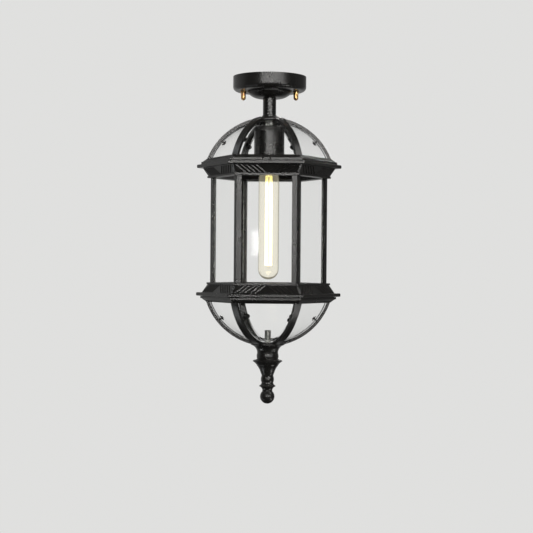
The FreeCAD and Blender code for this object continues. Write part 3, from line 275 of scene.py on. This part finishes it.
def make_edge_group():
    """Rounded normals and a mask that is strong on outer edges and broken up by noise."""
    tree, given, out = new_group(
        "Rubbed edges",
        [("Radius", "NodeSocketFloat", 0.0006), ("Amount", "NodeSocketFloat", 0.5)],
        [("Mask", "NodeSocketFloat"), ("Normal", "NodeSocketVector")])
    bevel = add(tree, "ShaderNodeBevel", samples=6)
    join(tree, given["Radius"], bevel.inputs["Radius"])
    geometry = add(tree, "ShaderNodeNewGeometry")
    dot = add(tree, "ShaderNodeVectorMath", operation="DOT_PRODUCT")
    join(tree, bevel.outputs["Normal"], dot.inputs[0])
    join(tree, geometry.outputs["True Normal"], dot.inputs[1])
    edge = range_node(tree, dot.outputs["Value"], 0.80, 0.995, 1.0, 0.0)
    broken = range_node(tree, noise(tree, geometry.outputs["Position"], 160.0, 6.0, 0.7), 0.42, 0.66,
                        0.0, 1.0)
    join(tree, math_node(tree, "MULTIPLY", math_node(tree, "MULTIPLY", edge, broken), given["Amount"],
                         True), out["Mask"])
    join(tree, bevel.outputs["Normal"], out["Normal"])
    return tree


def make_dust_group():
    """A mask for dust that has settled on faces that look up."""
    tree, given, out = new_group(
        "Settled dust", [("Amount", "NodeSocketFloat", 0.4)], [("Mask", "NodeSocketFloat")])
    geometry = add(tree, "ShaderNodeNewGeometry")
    parts = add(tree, "ShaderNodeSeparateXYZ")
    join(tree, geometry.outputs["Normal"], parts.inputs[0])
    up = range_node(tree, parts.outputs["Z"], 0.35, 1.0, 0.0, 1.0)
    patchy = range_node(tree, noise(tree, geometry.outputs["Position"], 55.0, 6.0, 0.65), 0.35, 0.7,
                        0.25, 1.0)
    join(tree, math_node(tree, "MULTIPLY", math_node(tree, "MULTIPLY", up, patchy), given["Amount"],
                         True), out["Mask"])
    return tree


def make_turned_group():
    """Fine rings round the Z axis, as a lathe or a spinning press leaves them."""
    tree, given, out = new_group(
        "Turned rings", [("Scale", "NodeSocketFloat", 2200.0)],
        [("Height", "NodeSocketFloat")])
    geometry = add(tree, "ShaderNodeNewGeometry")
    parts = add(tree, "ShaderNodeSeparateXYZ")
    join(tree, geometry.outputs["Position"], parts.inputs[0])
    flat = add(tree, "ShaderNodeCombineXYZ")
    join(tree, parts.outputs["X"], flat.inputs["X"])
    join(tree, parts.outputs["Y"], flat.inputs["Y"])
    reach = add(tree, "ShaderNodeVectorMath", operation="LENGTH")
    join(tree, flat.outputs[0], reach.inputs[0])
    ring = add(tree, "ShaderNodeCombineXYZ")
    join(tree, reach.outputs["Value"], ring.inputs["X"])
    join(tree, parts.outputs["Z"], ring.inputs["Y"])
    join(tree, noise(tree, ring.outputs[0], given["Scale"], 3.0, 0.7), out["Height"])
    return tree


def make_smear_group():
    """Faint wipe marks and specks on glass and glaze."""
    tree, given, out = new_group(
        "Wipe marks", [("Scale", "NodeSocketFloat", 9.0)],
        [("Mask", "NodeSocketFloat"), ("Ripple", "NodeSocketFloat")])
    geometry = add(tree, "ShaderNodeNewGeometry")
    stretch = add(tree, "ShaderNodeMapping")
    stretch.inputs["Rotation"].default_value = (0.3, 0.5, 0.0)
    stretch.inputs["Scale"].default_value = (1.0, 1.0, 0.35)
    join(tree, geometry.outputs["Position"], stretch.inputs["Vector"])
    smear = noise(tree, stretch.outputs[0], math_node(tree, "MULTIPLY", given["Scale"], 4.0), 5.0, 0.6)
    join(tree, range_node(tree, smear, 0.52, 0.78, 0.0, 1.0), out["Mask"])
    join(tree, noise(tree, geometry.outputs["Position"], given["Scale"], 1.0, 0.4), out["Ripple"])
    return tree


MAKERS = {
    "Powder grain": make_grain_group,
    "Rubbed edges": make_edge_group,
    "Settled dust": make_dust_group,
    "Turned rings": make_turned_group,
    "Wipe marks": make_smear_group,
}


def effect(tree, name, place=(0, 0), **values):
    """Places an effect group in a material, with its own values."""
    group = bpy.data.node_groups.get(name) or MAKERS[name]()
    node = add(tree, "ShaderNodeGroup", place, node_tree=group)
    node.label = name
    for label, value in values.items():
        join(tree, value, node.inputs[label])
    return node.outputs


def new_material(name, **sockets):
    """A Principled material. Gives the material, its tree and the shader's inputs."""
    material = bpy.data.materials.new(name)
    material.use_nodes = True
    tree = material.node_tree
    shader = tree.nodes["Principled BSDF"]
    for label, value in sockets.items():
        shader.inputs[label.replace("_", " ")].default_value = value
    return material, tree, shader


def bump(tree, height, strength, distance, normal=None):
    """A normal that is raised by a height, on top of another normal where one is given."""
    node = add(tree, "ShaderNodeBump")
    node.inputs["Strength"].default_value = strength
    node.inputs["Distance"].default_value = distance
    join(tree, height, node.inputs["Height"])
    if normal is not None:
        join(tree, normal, node.inputs["Normal"])
    return node.outputs["Normal"]


def colour(values):
    """Three numbers as an opaque colour."""
    return (*values, 1.0)


# ---- finishes ----

def powder_coat(name, grain_scale, bump_depth, wear, dust, turned=False, duller=0.0):
    """Satin black powder coat with grain, rubbed edges and a little dust."""
    finish = bpy.context.scene.lantern_cast
    material, tree, shader = new_material(name)
    shader.inputs["Specular IOR Level"].default_value = 0.5
    grain = effect(tree, "Powder grain", (-900, 200), Scale=grain_scale / finish.grain, Pits=0.3)
    edges = effect(tree, "Rubbed edges", (-900, -100), Radius=finish.edge, Amount=wear)
    settled = effect(tree, "Settled dust", (-900, -350), Amount=dust)
    toned = mix_colour(tree, range_node(tree, grain["Tone"], 0.3, 0.7, 0.0, 1.0),
                       tuple(DARKER * value for value in finish.colour),
                       tuple(LIGHTER * value for value in finish.colour))
    rubbed = mix_colour(tree, edges["Mask"], toned, tuple(finish.bare))
    dusty = mix_colour(tree, settled["Mask"], rubbed, tuple(finish.dust))
    join(tree, dusty, shader.inputs["Base Color"])
    dull = range_node(tree, grain["Tone"], 0.25, 0.75, finish.roughness + duller - 0.05,
                      finish.roughness + duller + 0.07)
    join(tree, math_node(tree, "ADD", dull, math_node(tree, "MULTIPLY", settled["Mask"], 0.25), True),
         shader.inputs["Roughness"])
    height = grain["Height"]
    if turned:
        rings = effect(tree, "Turned rings", (-900, -550), Scale=1500.0)
        height = math_node(tree, "ADD", height, math_node(tree, "MULTIPLY", rings["Height"], 0.5))
    join(tree, bump(tree, height, 0.35, bump_depth, edges["Normal"]), shader.inputs["Normal"])
    return material


def plated_metal(name, base, toned, low, high, turned=0.4):
    """Bright or toned metal with turning marks and faint stains."""
    material, tree, shader = new_material(name, Metallic=1.0)
    grain = effect(tree, "Powder grain", (-900, 200), Scale=2600.0, Pits=0.1)
    rings = effect(tree, "Turned rings", (-900, -100), Scale=2600.0)
    stain = range_node(tree, grain["Tone"], 0.38, 0.66, 0.0, 1.0)
    join(tree, mix_colour(tree, stain, base, toned), shader.inputs["Base Color"])
    join(tree, range_node(tree, stain, 0.0, 1.0, low, high), shader.inputs["Roughness"])
    height = math_node(tree, "ADD", grain["Height"],
                       math_node(tree, "MULTIPLY", rings["Height"], turned))
    join(tree, bump(tree, height, 0.25, 0.00004), shader.inputs["Normal"])
    return material


def see_through(name, tint, refraction, roughness, ripple, marks):
    """Glass that lets the lamps' light through to what is behind it."""
    material, tree, shader = new_material(name, Transmission_Weight=1.0, IOR=refraction)
    smear = effect(tree, "Wipe marks", (-900, 0), Scale=9.0)
    join(tree, mix_colour(tree, smear["Mask"], tuple(tint), tuple(0.97 * value for value in tint)),
         shader.inputs["Base Color"])
    join(tree, range_node(tree, smear["Mask"], 0.0, 1.0, roughness, roughness + marks),
         shader.inputs["Roughness"])
    join(tree, bump(tree, smear["Ripple"], 0.15, ripple), shader.inputs["Normal"])
    rays = add(tree, "ShaderNodeLightPath", (-200, 400))
    clear = add(tree, "ShaderNodeBsdfTransparent", (-200, 200))
    clear.inputs["Color"].default_value = colour(tint)
    mix = add(tree, "ShaderNodeMixShader", (300, 300))
    join(tree, rays.outputs["Is Shadow Ray"], mix.inputs[0])
    join(tree, shader.outputs[0], mix.inputs[1])
    join(tree, clear.outputs[0], mix.inputs[2])
    join(tree, mix.outputs[0], tree.nodes["Material Output"].inputs["Surface"])
    return material


def finish_nodes(material, names):
    """Puts one finish on several pieces of the frame."""
    for name in names:
        slots = NODES[name].data.materials
        slots.clear()
        slots.append(material)


def numbered(stem):
    """The names of six like pieces."""
    return [f"{stem}_{number}" for number in SIX]


def new_piece(name, mesh_maker, material, body):
    """A piece of its own, built with bmesh, that rides on a body."""
    mesh = bpy.data.meshes.new(name)
    shape = bmesh.new()
    mesh_maker(shape)
    bmesh.ops.recalc_face_normals(shape, faces=shape.faces)
    shape.to_mesh(mesh)
    shape.free()
    mesh.shade_smooth()
    mesh.materials.append(material)
    piece = bpy.data.objects.new(name, mesh)
    bpy.context.scene.collection.objects.link(piece)
    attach(piece, body)
    return piece


def tube_along(shape, points, radii, sides):
    """A closed tube with a round section at each point of a nearly straight line."""
    loops = []
    count = len(points)
    for index, (point, radius) in enumerate(zip(points, radii)):
        ahead = points[min(index + 1, count - 1)] - points[max(index - 1, 0)]
        turn = ahead.to_track_quat("Z", "Y").to_matrix()
        ring = []
        for side in range(sides):
            angle = 2 * math.pi * side / sides
            ring.append(shape.verts.new(point + turn @ Vector((radius * math.cos(angle),
                                                              radius * math.sin(angle), 0))))
        loops.append(ring)
    for low, high in zip(loops, loops[1:]):
        for side in range(sides):
            ahead = (side + 1) % sides
            shape.faces.new((low[side], low[ahead], high[ahead], high[side]))
    shape.faces.new(loops[0][::-1])
    shape.faces.new(loops[-1])


# ---- one operator for each piece or group of like pieces ----

class LANTERN_OT_castings(bpy.types.Operator):
    """Coats the cast aluminium: dome, bowl, rings, posts, collar, catch tab and finial"""
    bl_idname = "lantern.castings"
    bl_label = "Castings"

    def execute(self, context):
        coat = powder_coat("Cast powder coat", 1.0, 0.00009, 0.55, 0.35)
        finish_nodes(coat, ["dome_frame", "bowl_frame", "upper_ring", "lower_ring", "catch_tab",
                            *numbered("post")])
        smooth = powder_coat("Turned powder coat", 0.8, 0.00007, 0.4, 0.3, turned=True)
        finish_nodes(smooth, ["finial", "stem_collar"])
        return {"FINISHED"}


class LANTERN_OT_steel(bpy.types.Operator):
    """Coats the pressed and drawn steel: canopy, stem, socket cup, clips and hinge leaves"""
    bl_idname = "lantern.steel"
    bl_label = "Pressed steel"

    def execute(self, context):
        coat = powder_coat("Steel powder coat", 0.7, 0.00006, 0.35, 0.3, turned=True)
        finish_nodes(coat, ["canopy_pan", "stem_tube", "socket_cup"])
        lid = powder_coat("Dull lid coat", 0.7, 0.00006, 0.2, 0.3, duller=0.3)
        finish_nodes(lid, ["socket_cap"])
        small = powder_coat("Small part coat", 0.6, 0.00008, 0.7, 0.2)
        finish_nodes(small, ["dome_clips", "bowl_clips", "fixed_hinge_leaf", "cage_hinge_leaf"])
        return {"FINISHED"}


class LANTERN_OT_fasteners(bpy.types.Operator):
    """Plates the nuts, washers, studs, pins and screws"""
    bl_idname = "lantern.fasteners"
    bl_label = "Fasteners"

    def execute(self, context):
        zinc = plated_metal("Zinc plate", (0.64, 0.65, 0.64), (0.46, 0.46, 0.44), 0.2, 0.38)
        finish_nodes(zinc, ["crossbar", "canopy_studs", "threaded_pipe", "pipe_nuts", "hinge_pin",
                            "finial_nut", "finial_stud"])
        finish_nodes(self.dark_zinc_with_painted_glints(), ["lock_washers", "hub_nut", "catch_screw"])
        brass = plated_metal("Toned brass", (0.87, 0.62, 0.24), (0.72, 0.40, 0.17), 0.14, 0.3)
        finish_nodes(brass, ["canopy_cap_nuts", "socket_shell", "socket_contact"])
        green = plated_metal("Green earth screw", (0.05, 0.30, 0.10), (0.03, 0.19, 0.06), 0.3, 0.45)
        finish_nodes(green, ["ground_screw"])
        return {"FINISHED"}

    def dark_zinc_with_painted_glints(self):
        """Zinc made dark, with small bright specks painted in as glints."""
        material, tree, shader = new_material("Dark zinc with painted glints", Metallic=1.0)
        grain = effect(tree, "Powder grain", (-900, 200), Scale=1500.0, Pits=0.1)
        place = add(tree, "ShaderNodeNewGeometry").outputs["Position"]
        # Painted glints: small bright specks of plain zinc in the dark metal.
        specks = range_node(tree, noise(tree, place, 620.0, 1.0), 0.56, 0.66, 0.0, 1.0)
        join(tree, mix_colour(tree, specks, (0.035, 0.036, 0.034), (0.62, 0.64, 0.62)),
             shader.inputs["Base Color"])
        join(tree, range_node(tree, specks, 0.0, 1.0, 0.42, 0.25), shader.inputs["Roughness"])
        join(tree, bump(tree, grain["Height"], 0.4, 0.00008), shader.inputs["Normal"])
        return material


class LANTERN_OT_lamp_holder(bpy.types.Operator):
    """Glazes the lamp holder and covers its two leads"""
    bl_idname = "lantern.lamp_holder"
    bl_label = "Lamp holder"

    def execute(self, context):
        glaze, tree, shader = new_material("Glazed porcelain", Coat_Weight=0.5, Coat_Roughness=0.08)
        marks = effect(tree, "Wipe marks", (-900, 0), Scale=60.0)
        join(tree, mix_colour(tree, marks["Mask"], (0.86, 0.85, 0.80), (0.78, 0.76, 0.70)),
             shader.inputs["Base Color"])
        join(tree, range_node(tree, marks["Mask"], 0.0, 1.0, 0.22, 0.4), shader.inputs["Roughness"])
        join(tree, bump(tree, marks["Ripple"], 0.2, 0.0003), shader.inputs["Normal"])
        finish_nodes(glaze, ["socket_body"])
        sleeve, tree, shader = new_material("Lead insulation")
        grain = effect(tree, "Powder grain", (-900, 0), Scale=3000.0, Pits=0.1)
        join(tree, mix_colour(tree, grain["Tone"], (0.03, 0.03, 0.03), (0.07, 0.068, 0.065)),
             shader.inputs["Base Color"])
        join(tree, range_node(tree, grain["Tone"], 0.3, 0.7, 0.5, 0.68), shader.inputs["Roughness"])
        join(tree, bump(tree, grain["Height"], 0.3, 0.00005), shader.inputs["Normal"])
        finish_nodes(sleeve, ["lead_wires"])
        return {"FINISHED"}


class LANTERN_OT_panes(bpy.types.Operator):
    """Glazes the dome, the sides and the bowl"""
    bl_idname = "lantern.panes"
    bl_label = "Panes"

    def execute(self, context):
        finish = context.scene.lantern_glass
        glass = see_through("Pane glass", finish.tint, finish.refraction, 0.0, 0.0002, 0.03)
        finish_nodes(glass, numbered("dome_pane") + numbered("side_pane") + numbered("bowl_pane"))
        return {"FINISHED"}


class LANTERN_OT_sealant(bpy.types.Operator):
    """Lays an uneven bead of clear sealant along both edges of each side pane"""
    bl_idname = "lantern.sealant"
    bl_label = "Sealant beads"

    steps = 110
    sides = 8
    inset = 0.4         # of the radius, from the pane's edge inwards
    standoff = 0.3      # of the radius, from the pane's back
    calm = 0.7          # how much of the last step's wander is kept
    stir = 0.3          # how much new wander each step adds
    swelling = 0.5
    weave = 0.25        # of the radius, sideways
    wave_high = 0.12
    wave_count = 23     # radians along one bead

    def execute(self, context):
        finish = context.scene.lantern_glass
        material, tree, shader = new_material(
            "Clear sealant", Transmission_Weight=0.45, IOR=1.41)
        smear = effect(tree, "Wipe marks", (-900, 0), Scale=90.0)
        tint = tuple(finish.sealant_tint)
        join(tree, mix_colour(tree, smear["Mask"], tint, tuple(0.6 * value for value in tint)),
             shader.inputs["Base Color"])
        join(tree, range_node(tree, smear["Mask"], 0.0, 1.0, 0.08, 0.25), shader.inputs["Roughness"])
        join(tree, bump(tree, smear["Ripple"], 0.8, 0.0012), shader.inputs["Normal"])
        low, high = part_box("side_pane_1")
        post_low, post_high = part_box("post_1")
        foot, top = post_low.z, post_high.z
        radius = finish.sealant_radius
        edge = high.x - self.inset * radius
        back = high.y + self.standoff * radius
        for side in SIX:
            around = Matrix.Rotation(math.radians(60 * (side - 1)), 3, "Z")

            def lay(shape):
                for hand in (-1, 1):
                    drift = random.Random(10 * side + hand)
                    points = []
                    radii = []
                    wander = 0.0
                    for step in range(self.steps + 1):
                        share = step / self.steps
                        wander = self.calm * wander + self.stir * drift.uniform(-1, 1)
                        wave = self.wave_high * math.sin(self.wave_count * share + hand)
                        radii.append(radius * (1 + self.swelling * wander + wave))
                        across = hand * (edge + self.weave * radius * wander)
                        level = foot + (top - foot) * share
                        points.append(around @ Vector((across, back, level)))
                    tube_along(shape, points, radii, self.sides)

            new_piece(f"sealant_beads_{side}", lay, material, "cage")
        return {"FINISHED"}


class LANTERN_OT_bulb(bpy.types.Operator):
    """Finishes the lit tubular bulb: tinted glass with a painted warm glow, rolled cap, contact and
    glowing filaments with painted shade at their tops
    """
    bl_idname = "lantern.bulb"
    bl_label = "Bulb"

    # Painted shade: over these lengths below their top, the filaments' glow is dimmed to a dull green.
    fade_foot = 0.018   # below the filaments' top, where their glow starts to fade
    fade_top = 0.004    # below the filaments' top, where it has faded

    def execute(self, context):
        finish = context.scene.lantern_bulb
        glass = see_through("Bulb glass", finish.tint, 1.45, 0.0, 0.0001, 0.02)
        tree = glass.node_tree
        shader = tree.nodes["Principled BSDF"]
        # Painted glow: the bulb's glass gives off a faint warm light, streaked by a wipe-mark mask.
        streaks = effect(tree, "Wipe marks", (-900, -300), Scale=40.0)
        painted_glow = tuple(finish.painted_glow)
        join(tree, mix_colour(tree, streaks["Mask"], painted_glow, tuple(0.7 * value for value in painted_glow)),
             shader.inputs["Emission Color"])
        shader.inputs["Emission Strength"].default_value = 1.0
        finish_nodes(glass, ["bulb_glass", "bulb_mount"])
        cap = plated_metal("Rolled cap", (0.72, 0.66, 0.50), (0.55, 0.49, 0.36), 0.22, 0.36)
        finish_nodes(cap, ["bulb_cap", "bulb_contact"])
        glow, tree, shader = new_material("Lit filament", Emission_Strength=finish.strength,
                                          Roughness=0.6)
        place = add(tree, "ShaderNodeNewGeometry").outputs["Position"]
        dots = noise(tree, place, 900.0, 2.0)
        warm = tuple(finish.glow)
        lit = mix_colour(tree, dots, warm, tuple(min(1.0, 1.12 * value) for value in warm))
        level = add(tree, "ShaderNodeSeparateXYZ")
        join(tree, place, level.inputs[0])
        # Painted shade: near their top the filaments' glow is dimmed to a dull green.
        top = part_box("bulb_filament")[1].z
        painted_top_shade = range_node(tree, level.outputs["Z"], top - self.fade_foot, top - self.fade_top,
                           0.0, 1.0)
        join(tree, mix_colour(tree, painted_top_shade, lit, (0.20, 0.22, 0.08)), shader.inputs["Emission Color"])
        join(tree, mix_colour(tree, dots, (0.9, 0.62, 0.2), (0.95, 0.75, 0.35)),
             shader.inputs["Base Color"])
        finish_nodes(glow, ["bulb_filament"])
        return {"FINISHED"}


class LANTERN_OT_bowl_stud(bpy.types.Operator):
    """Cuts a real thread on the hollow stud that stands above the bowl's hub"""
    bl_idname = "lantern.bowl_stud"
    bl_label = "Bowl stud"

    sides = 40
    rows_per_turn = 6
    bore_share = 0.66   # of the outer radius

    def execute(self, context):
        sizes = context.scene.lantern_thread
        low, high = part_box("finial_stud")
        outer = (high.x - low.x) / 2
        inner = outer * self.bore_share
        rows = round((high.z - low.z) / sizes.pitch * self.rows_per_turn)

        def thread(shape):
            rings = []
            for row in range(rows + 1):
                level = low.z + (high.z - low.z) * row / rows
                ring = []
                for side in range(self.sides):
                    angle = 2 * math.pi * side / self.sides
                    phase = (row / self.rows_per_turn - side / self.sides) % 1
                    reach = outer - sizes.depth * abs(2 * phase - 1)
                    if row in (0, rows):
                        reach = outer - sizes.depth
                    ring.append(shape.verts.new((reach * math.cos(angle), reach * math.sin(angle),
                                                 level)))
                rings.append(ring)
            bores = []
            for level in (high.z, low.z):
                bores.append([shape.verts.new((inner * math.cos(2 * math.pi * side / self.sides),
                                               inner * math.sin(2 * math.pi * side / self.sides),
                                               level)) for side in range(self.sides)])
            loops = [*rings, *bores, rings[0]]
            for first, second in zip(loops, loops[1:]):
                for side in range(self.sides):
                    ahead = (side + 1) % self.sides
                    shape.faces.new((first[side], first[ahead], second[ahead], second[side]))

        zinc = bpy.data.materials["Zinc plate"]
        stud = new_piece("threaded_bowl_stud", thread, zinc, "cage")
        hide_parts("finial_stud")
        return {"FINISHED"}


class LANTERN_OT_stage(bpy.types.Operator):
    """Sets up the pale floor and backdrop, the soft lamps and the camera"""
    bl_idname = "lantern.stage"
    bl_label = "Stage"

    floor_level = -2.4
    floor_radius = 8.0
    plain_level = 0.36      # of the backdrop, as light on the lantern
    floor_glow = 0.8        # how much of the floor is its own pale colour; the rest takes shadow

    def execute(self, context):
        self.light_world(context)
        self.lay_floor(context)
        self.hang_lamps(context)
        self.set_camera(context)
        context.scene.view_settings.view_transform = "Standard"
        return {"FINISHED"}

    def ray_kinds(self, tree):
        """Masks for rays that show the backdrop straight or through glass, and for mirror rays."""
        rays = add(tree, "ShaderNodeLightPath").outputs
        mirror = math_node(tree, "MAXIMUM", rays["Is Glossy Ray"],
                           math_node(tree, "MINIMUM", rays["Glossy Depth"], 1.0))
        bounced = math_node(tree, "ADD", rays["Glossy Depth"], rays["Diffuse Depth"], True)
        straight = math_node(tree, "MULTIPLY",
                             math_node(tree, "MAXIMUM", rays["Is Camera Ray"],
                                       rays["Is Transmission Ray"]),
                             math_node(tree, "SUBTRACT", 1.0, bounced))
        return straight, mirror

    def mirrored_share(self, tree, towards):
        """How much of the pale room mirror rays meet: most behind the lantern, little in front."""
        share = DARK_ROOM
        for way, low, high, amount in MIRROR_LOBES:
            dot = add(tree, "ShaderNodeVectorMath", operation="DOT_PRODUCT")
            join(tree, towards, dot.inputs[0])
            dot.inputs[1].default_value = way
            share = math_node(tree, "ADD", share,
                              range_node(tree, dot.outputs["Value"], low, high, 0.0, amount))
        return share

    def light_world(self, context):
        stage = context.scene.lantern_stage
        world = bpy.data.worlds.new("Pale room")
        world.use_nodes = True
        context.scene.world = world
        tree = world.node_tree
        back = tree.nodes["Background"]
        back.inputs["Color"].default_value = colour(stage.backdrop)
        straight, mirror = self.ray_kinds(tree)
        towards = add(tree, "ShaderNodeTexCoord").outputs["Generated"]
        mirrored = math_node(tree, "MULTIPLY", mirror, self.mirrored_share(tree, towards))
        plain = math_node(tree, "MULTIPLY", self.plain_level,
                          math_node(tree, "SUBTRACT", 1.0, mirror))
        share = math_node(tree, "MAXIMUM", straight, math_node(tree, "ADD", mirrored, plain))
        join(tree, share, back.inputs["Strength"])

    def lay_floor(self, context):
        stage = context.scene.lantern_stage
        mesh = bpy.data.meshes.new("floor")
        shape = bmesh.new()
        bmesh.ops.create_circle(shape, cap_ends=True, segments=96, radius=self.floor_radius)
        shape.to_mesh(mesh)
        shape.free()
        floor = bpy.data.objects.new("floor", mesh)
        floor.location.z = self.floor_level
        context.scene.collection.objects.link(floor)
        material, tree, shader = new_material("Pale floor", Roughness=0.9)
        shader.inputs["Base Color"].default_value = colour(stage.backdrop)
        shader.inputs["Specular IOR Level"].default_value = 0.0
        glow = add(tree, "ShaderNodeEmission")
        glow.inputs["Color"].default_value = colour(stage.backdrop)
        mix = add(tree, "ShaderNodeMixShader")
        straight, mirror = self.ray_kinds(tree)
        place = add(tree, "ShaderNodeVectorMath", operation="NORMALIZE")
        join(tree, add(tree, "ShaderNodeNewGeometry").outputs["Position"], place.inputs[0])
        share = self.mirrored_share(tree, place.outputs[0])
        join(tree, math_node(tree, "MAXIMUM", straight, math_node(tree, "MULTIPLY", mirror, share)),
             glow.inputs["Strength"])
        own = math_node(tree, "MULTIPLY", straight, self.floor_glow)
        join(tree, math_node(tree, "MAXIMUM", own, mirror), mix.inputs[0])
        join(tree, shader.outputs[0], mix.inputs[1])
        join(tree, glow.outputs[0], mix.inputs[2])
        join(tree, mix.outputs[0], tree.nodes["Material Output"].inputs["Surface"])
        mesh.materials.append(material)

    def hang_lamps(self, context):
        for name, place, (wide, high), power, tone in LAMPS:
            data = bpy.data.lights.new(name, "AREA")
            data.shape = "RECTANGLE"
            data.size = wide
            data.size_y = high
            data.energy = power
            data.color = tone
            lamp = bpy.data.objects.new(name, data)
            lamp.location = place
            lamp.rotation_euler = (LAMP_AIM - Vector(place)).to_track_quat("-Z", "Y").to_euler()
            lamp.visible_camera = False
            lamp.visible_transmission = False
            data.cycles.use_multiple_importance_sampling = name == "window"
            context.scene.collection.objects.link(lamp)

    def set_camera(self, context):
        stage = context.scene.lantern_stage
        data = bpy.data.cameras.new("camera")
        data.sensor_width = SENSOR
        data.lens = stage.focal_pixels * SENSOR / PICTURE_SIDE
        data.shift_x, data.shift_y = (shift / PICTURE_SIDE for shift in PICTURE_SHIFT)
        data.clip_start = NEAREST_SEEN
        camera = bpy.data.objects.new("camera", data)
        camera.location = (stage.distance * math.sin(stage.side), -stage.distance * math.cos(stage.side),
                           stage.height)
        level = Matrix.Rotation(stage.side, 4, "Z") @ Matrix.Rotation(math.pi / 2, 4, "X")
        camera.rotation_euler = (level @ Matrix.Rotation(stage.lean, 4, "Z")).to_euler()
        context.scene.collection.objects.link(camera)
        context.scene.camera = camera


OPERATORS = (
    LANTERN_OT_castings,
    LANTERN_OT_steel,
    LANTERN_OT_fasteners,
    LANTERN_OT_lamp_holder,
    LANTERN_OT_panes,
    LANTERN_OT_sealant,
    LANTERN_OT_bulb,
    LANTERN_OT_bowl_stud,
    LANTERN_OT_stage,
)


class LANTERN_PT_pieces(bpy.types.Panel):
    """Lists the pieces and their settings"""
    bl_label = "Lantern"
    bl_idname = "LANTERN_PT_pieces"
    bl_space_type = "VIEW_3D"
    bl_region_type = "UI"
    bl_category = "Lantern"

    def draw(self, context):
        for operator in OPERATORS:
            self.layout.operator(operator.bl_idname)
        for name, group in SETTINGS:
            box = self.layout.box()
            for prop in group.__annotations__:
                box.prop(getattr(context.scene, name), prop)


def register():
    for name, group in SETTINGS:
        bpy.utils.register_class(group)
        setattr(bpy.types.Scene, name, bpy.props.PointerProperty(type=group))
    for operator in OPERATORS:
        bpy.utils.register_class(operator)
    bpy.utils.register_class(LANTERN_PT_pieces)


def unregister():
    bpy.utils.unregister_class(LANTERN_PT_pieces)
    for operator in reversed(OPERATORS):
        bpy.utils.unregister_class(operator)
    for name, group in reversed(SETTINGS):
        delattr(bpy.types.Scene, name)
        bpy.utils.unregister_class(group)


def main():
    register()
    for operator in OPERATORS:
        family, action = operator.bl_idname.split(".")
        getattr(getattr(bpy.ops, family), action)()


if __name__ == "__main__":
    main()
